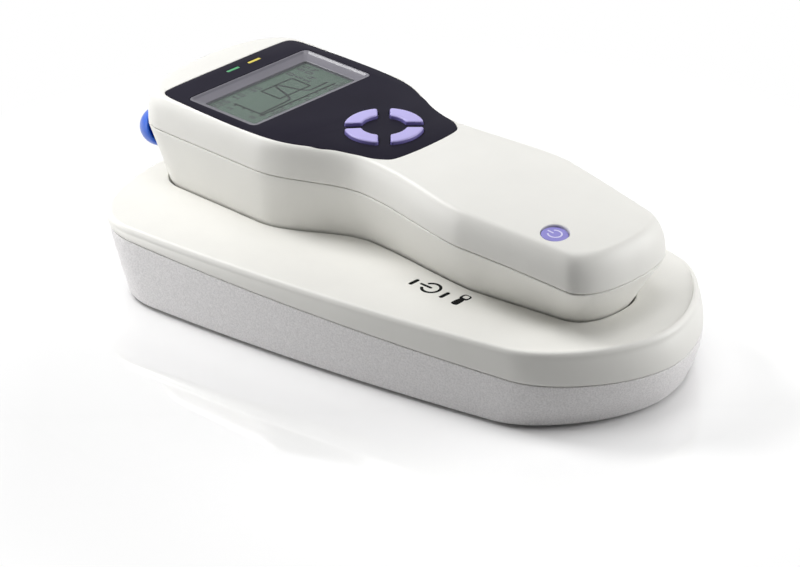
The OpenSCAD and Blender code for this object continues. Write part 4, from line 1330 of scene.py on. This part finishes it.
def floor_material():
    """White gloss. Only the camera sees its mirror image of the object, which fades out
    towards the front, and its rim, which is as white as the surroundings."""
    material = bpy.data.materials.new("floor_gloss")
    material.use_nodes = True
    nodes = material.node_tree.nodes
    links = material.node_tree.links
    nodes.clear()
    place = nodes.new("ShaderNodeTexCoord")
    path = nodes.new("ShaderNodeLightPath")

    def measure(operation, direction=None):
        node = nodes.new("ShaderNodeVectorMath")
        node.operation = operation
        if direction is not None:
            node.inputs[1].default_value = direction
        links.new(place.outputs["Object"], node.inputs[0])
        return node.outputs["Value"]

    def ramp(value, span, ends):
        node = nodes.new("ShaderNodeMapRange")
        node.inputs["From Min"].default_value = span[0]
        node.inputs["From Max"].default_value = span[1]
        node.inputs["To Min"].default_value = ends[0]
        node.inputs["To Max"].default_value = ends[1]
        links.new(value, node.inputs["Value"])
        return node.outputs["Result"]

    def for_camera(value):
        node = nodes.new("ShaderNodeMath")
        node.operation = "MULTIPLY"
        links.new(path.outputs["Is Camera Ray"], node.inputs[0])
        links.new(value, node.inputs[1])
        return node.outputs["Value"]

    def blend(share, first, second):
        node = nodes.new("ShaderNodeMixShader")
        links.new(share, node.inputs["Fac"])
        links.new(first, node.inputs[1])
        links.new(second, node.inputs[2])
        return node.outputs["Shader"]

    tone = nodes.new("ShaderNodeMix")
    tone.data_type = "RGBA"
    tone.inputs["A"].default_value = (FLOOR_BOUNCE, FLOOR_BOUNCE, FLOOR_BOUNCE, 1)
    white = ramp(measure("DOT_PRODUCT", TO_RIGHT), FLOOR_SPAN, FLOOR_WHITE)
    links.new(white, tone.inputs["B"])
    links.new(path.outputs["Is Camera Ray"], tone.inputs["Factor"])
    matt = nodes.new("ShaderNodeBsdfDiffuse")
    links.new(tone.outputs["Result"], matt.inputs["Color"])
    mirror = nodes.new("ShaderNodeBsdfGlossy")
    mirror.inputs["Roughness"].default_value = SHINE_ROUGHNESS
    plain = nodes.new("ShaderNodeEmission")
    shine = for_camera(ramp(measure("DOT_PRODUCT", -TO_BACK), SHINE_SPAN, SHINE))
    gloss = blend(shine, matt.outputs["BSDF"], mirror.outputs["BSDF"])
    rim = for_camera(ramp(measure("LENGTH"), FLOOR_RIM, (0, 1)))
    output = nodes.new("ShaderNodeOutputMaterial")
    links.new(blend(rim, gloss, plain.outputs["Emission"]), output.inputs["Surface"])
    return material


def floor():
    mesh = bpy.data.meshes.new("floor")
    size = FLOOR_SIZE
    corners = [(-size, -size, 0), (size, -size, 0), (size, size, 0), (-size, size, 0)]
    mesh.from_pydata(corners, [], [(0, 1, 2, 3)])
    mesh.materials.append(floor_material())
    link("floor", mesh)


def lamp(name, turn, elevation, distance, target, size, power):
    a = math.radians(turn)
    e = math.radians(elevation)
    level_part = math.cos(a) * TO_RIGHT + math.sin(a) * TO_BACK
    direction = math.cos(e) * level_part + Vector((0, 0, math.sin(e)))
    data = bpy.data.lights.new(name, "AREA")
    data.size = size
    data.energy = power
    aim = (-direction).to_track_quat("-Z", "Y").to_matrix().to_4x4()
    made = link(name, data)
    made.matrix_world = Matrix.Translation(Vector(target) + distance * direction) @ aim


def sky():
    made = bpy.data.worlds.new("studio")
    bpy.context.scene.world = made
    made.use_nodes = True
    nodes = made.node_tree.nodes
    links = made.node_tree.links
    back = nodes["Background"]
    back.inputs["Color"].default_value = (1, 1, 1, 1)
    path = nodes.new("ShaderNodeLightPath")
    seen = nodes.new("ShaderNodeMath")
    seen.operation = "MAXIMUM"
    links.new(path.outputs["Is Camera Ray"], seen.inputs[0])
    links.new(path.outputs["Is Glossy Ray"], seen.inputs[1])
    strength = nodes.new("ShaderNodeMapRange")
    strength.inputs["To Min"].default_value = SKY[0]
    strength.inputs["To Max"].default_value = SKY[1]
    links.new(seen.outputs["Value"], strength.inputs["Value"])
    links.new(strength.outputs["Result"], back.inputs["Strength"])


def camera():
    """The camera, placed so that the key ring's centre falls on its pixel."""
    e, r = VIEW_ELEVATION, VIEW_ROLL
    back = -math.cos(e) * TO_BACK + Vector((0, 0, math.sin(e)))
    rise = back.cross(TO_RIGHT)
    right = math.cos(r) * TO_RIGHT + math.sin(r) * rise
    up = math.cos(r) * rise - math.sin(r) * TO_RIGHT
    across = (RING_PIXEL[0] - IMAGE_WIDTH / 2) / PIXELS_PER_MM
    down = (RING_PIXEL[1] - IMAGE_HEIGHT / 2) / PIXELS_PER_MM
    ring_centre = Vector((SHIFT_X, 0, FACE_Z))
    eye = ring_centre + back * (FOCAL_PIXELS / PIXELS_PER_MM) - right * across + up * down
    data = bpy.data.cameras.new("camera")
    data.sensor_width = SENSOR
    data.lens = FOCAL_PIXELS / IMAGE_WIDTH * SENSOR
    data.clip_end = CAMERA_REACH
    made = link("camera", data)
    axes = Matrix((right, up, back)).transposed().to_4x4()
    made.matrix_world = Matrix.Translation(eye * MM) @ axes
    bpy.context.scene.camera = made


floor()
sky()
for values in LAMPS:
    lamp(*values)
camera()
bpy.context.scene.view_settings.view_transform = "Standard"
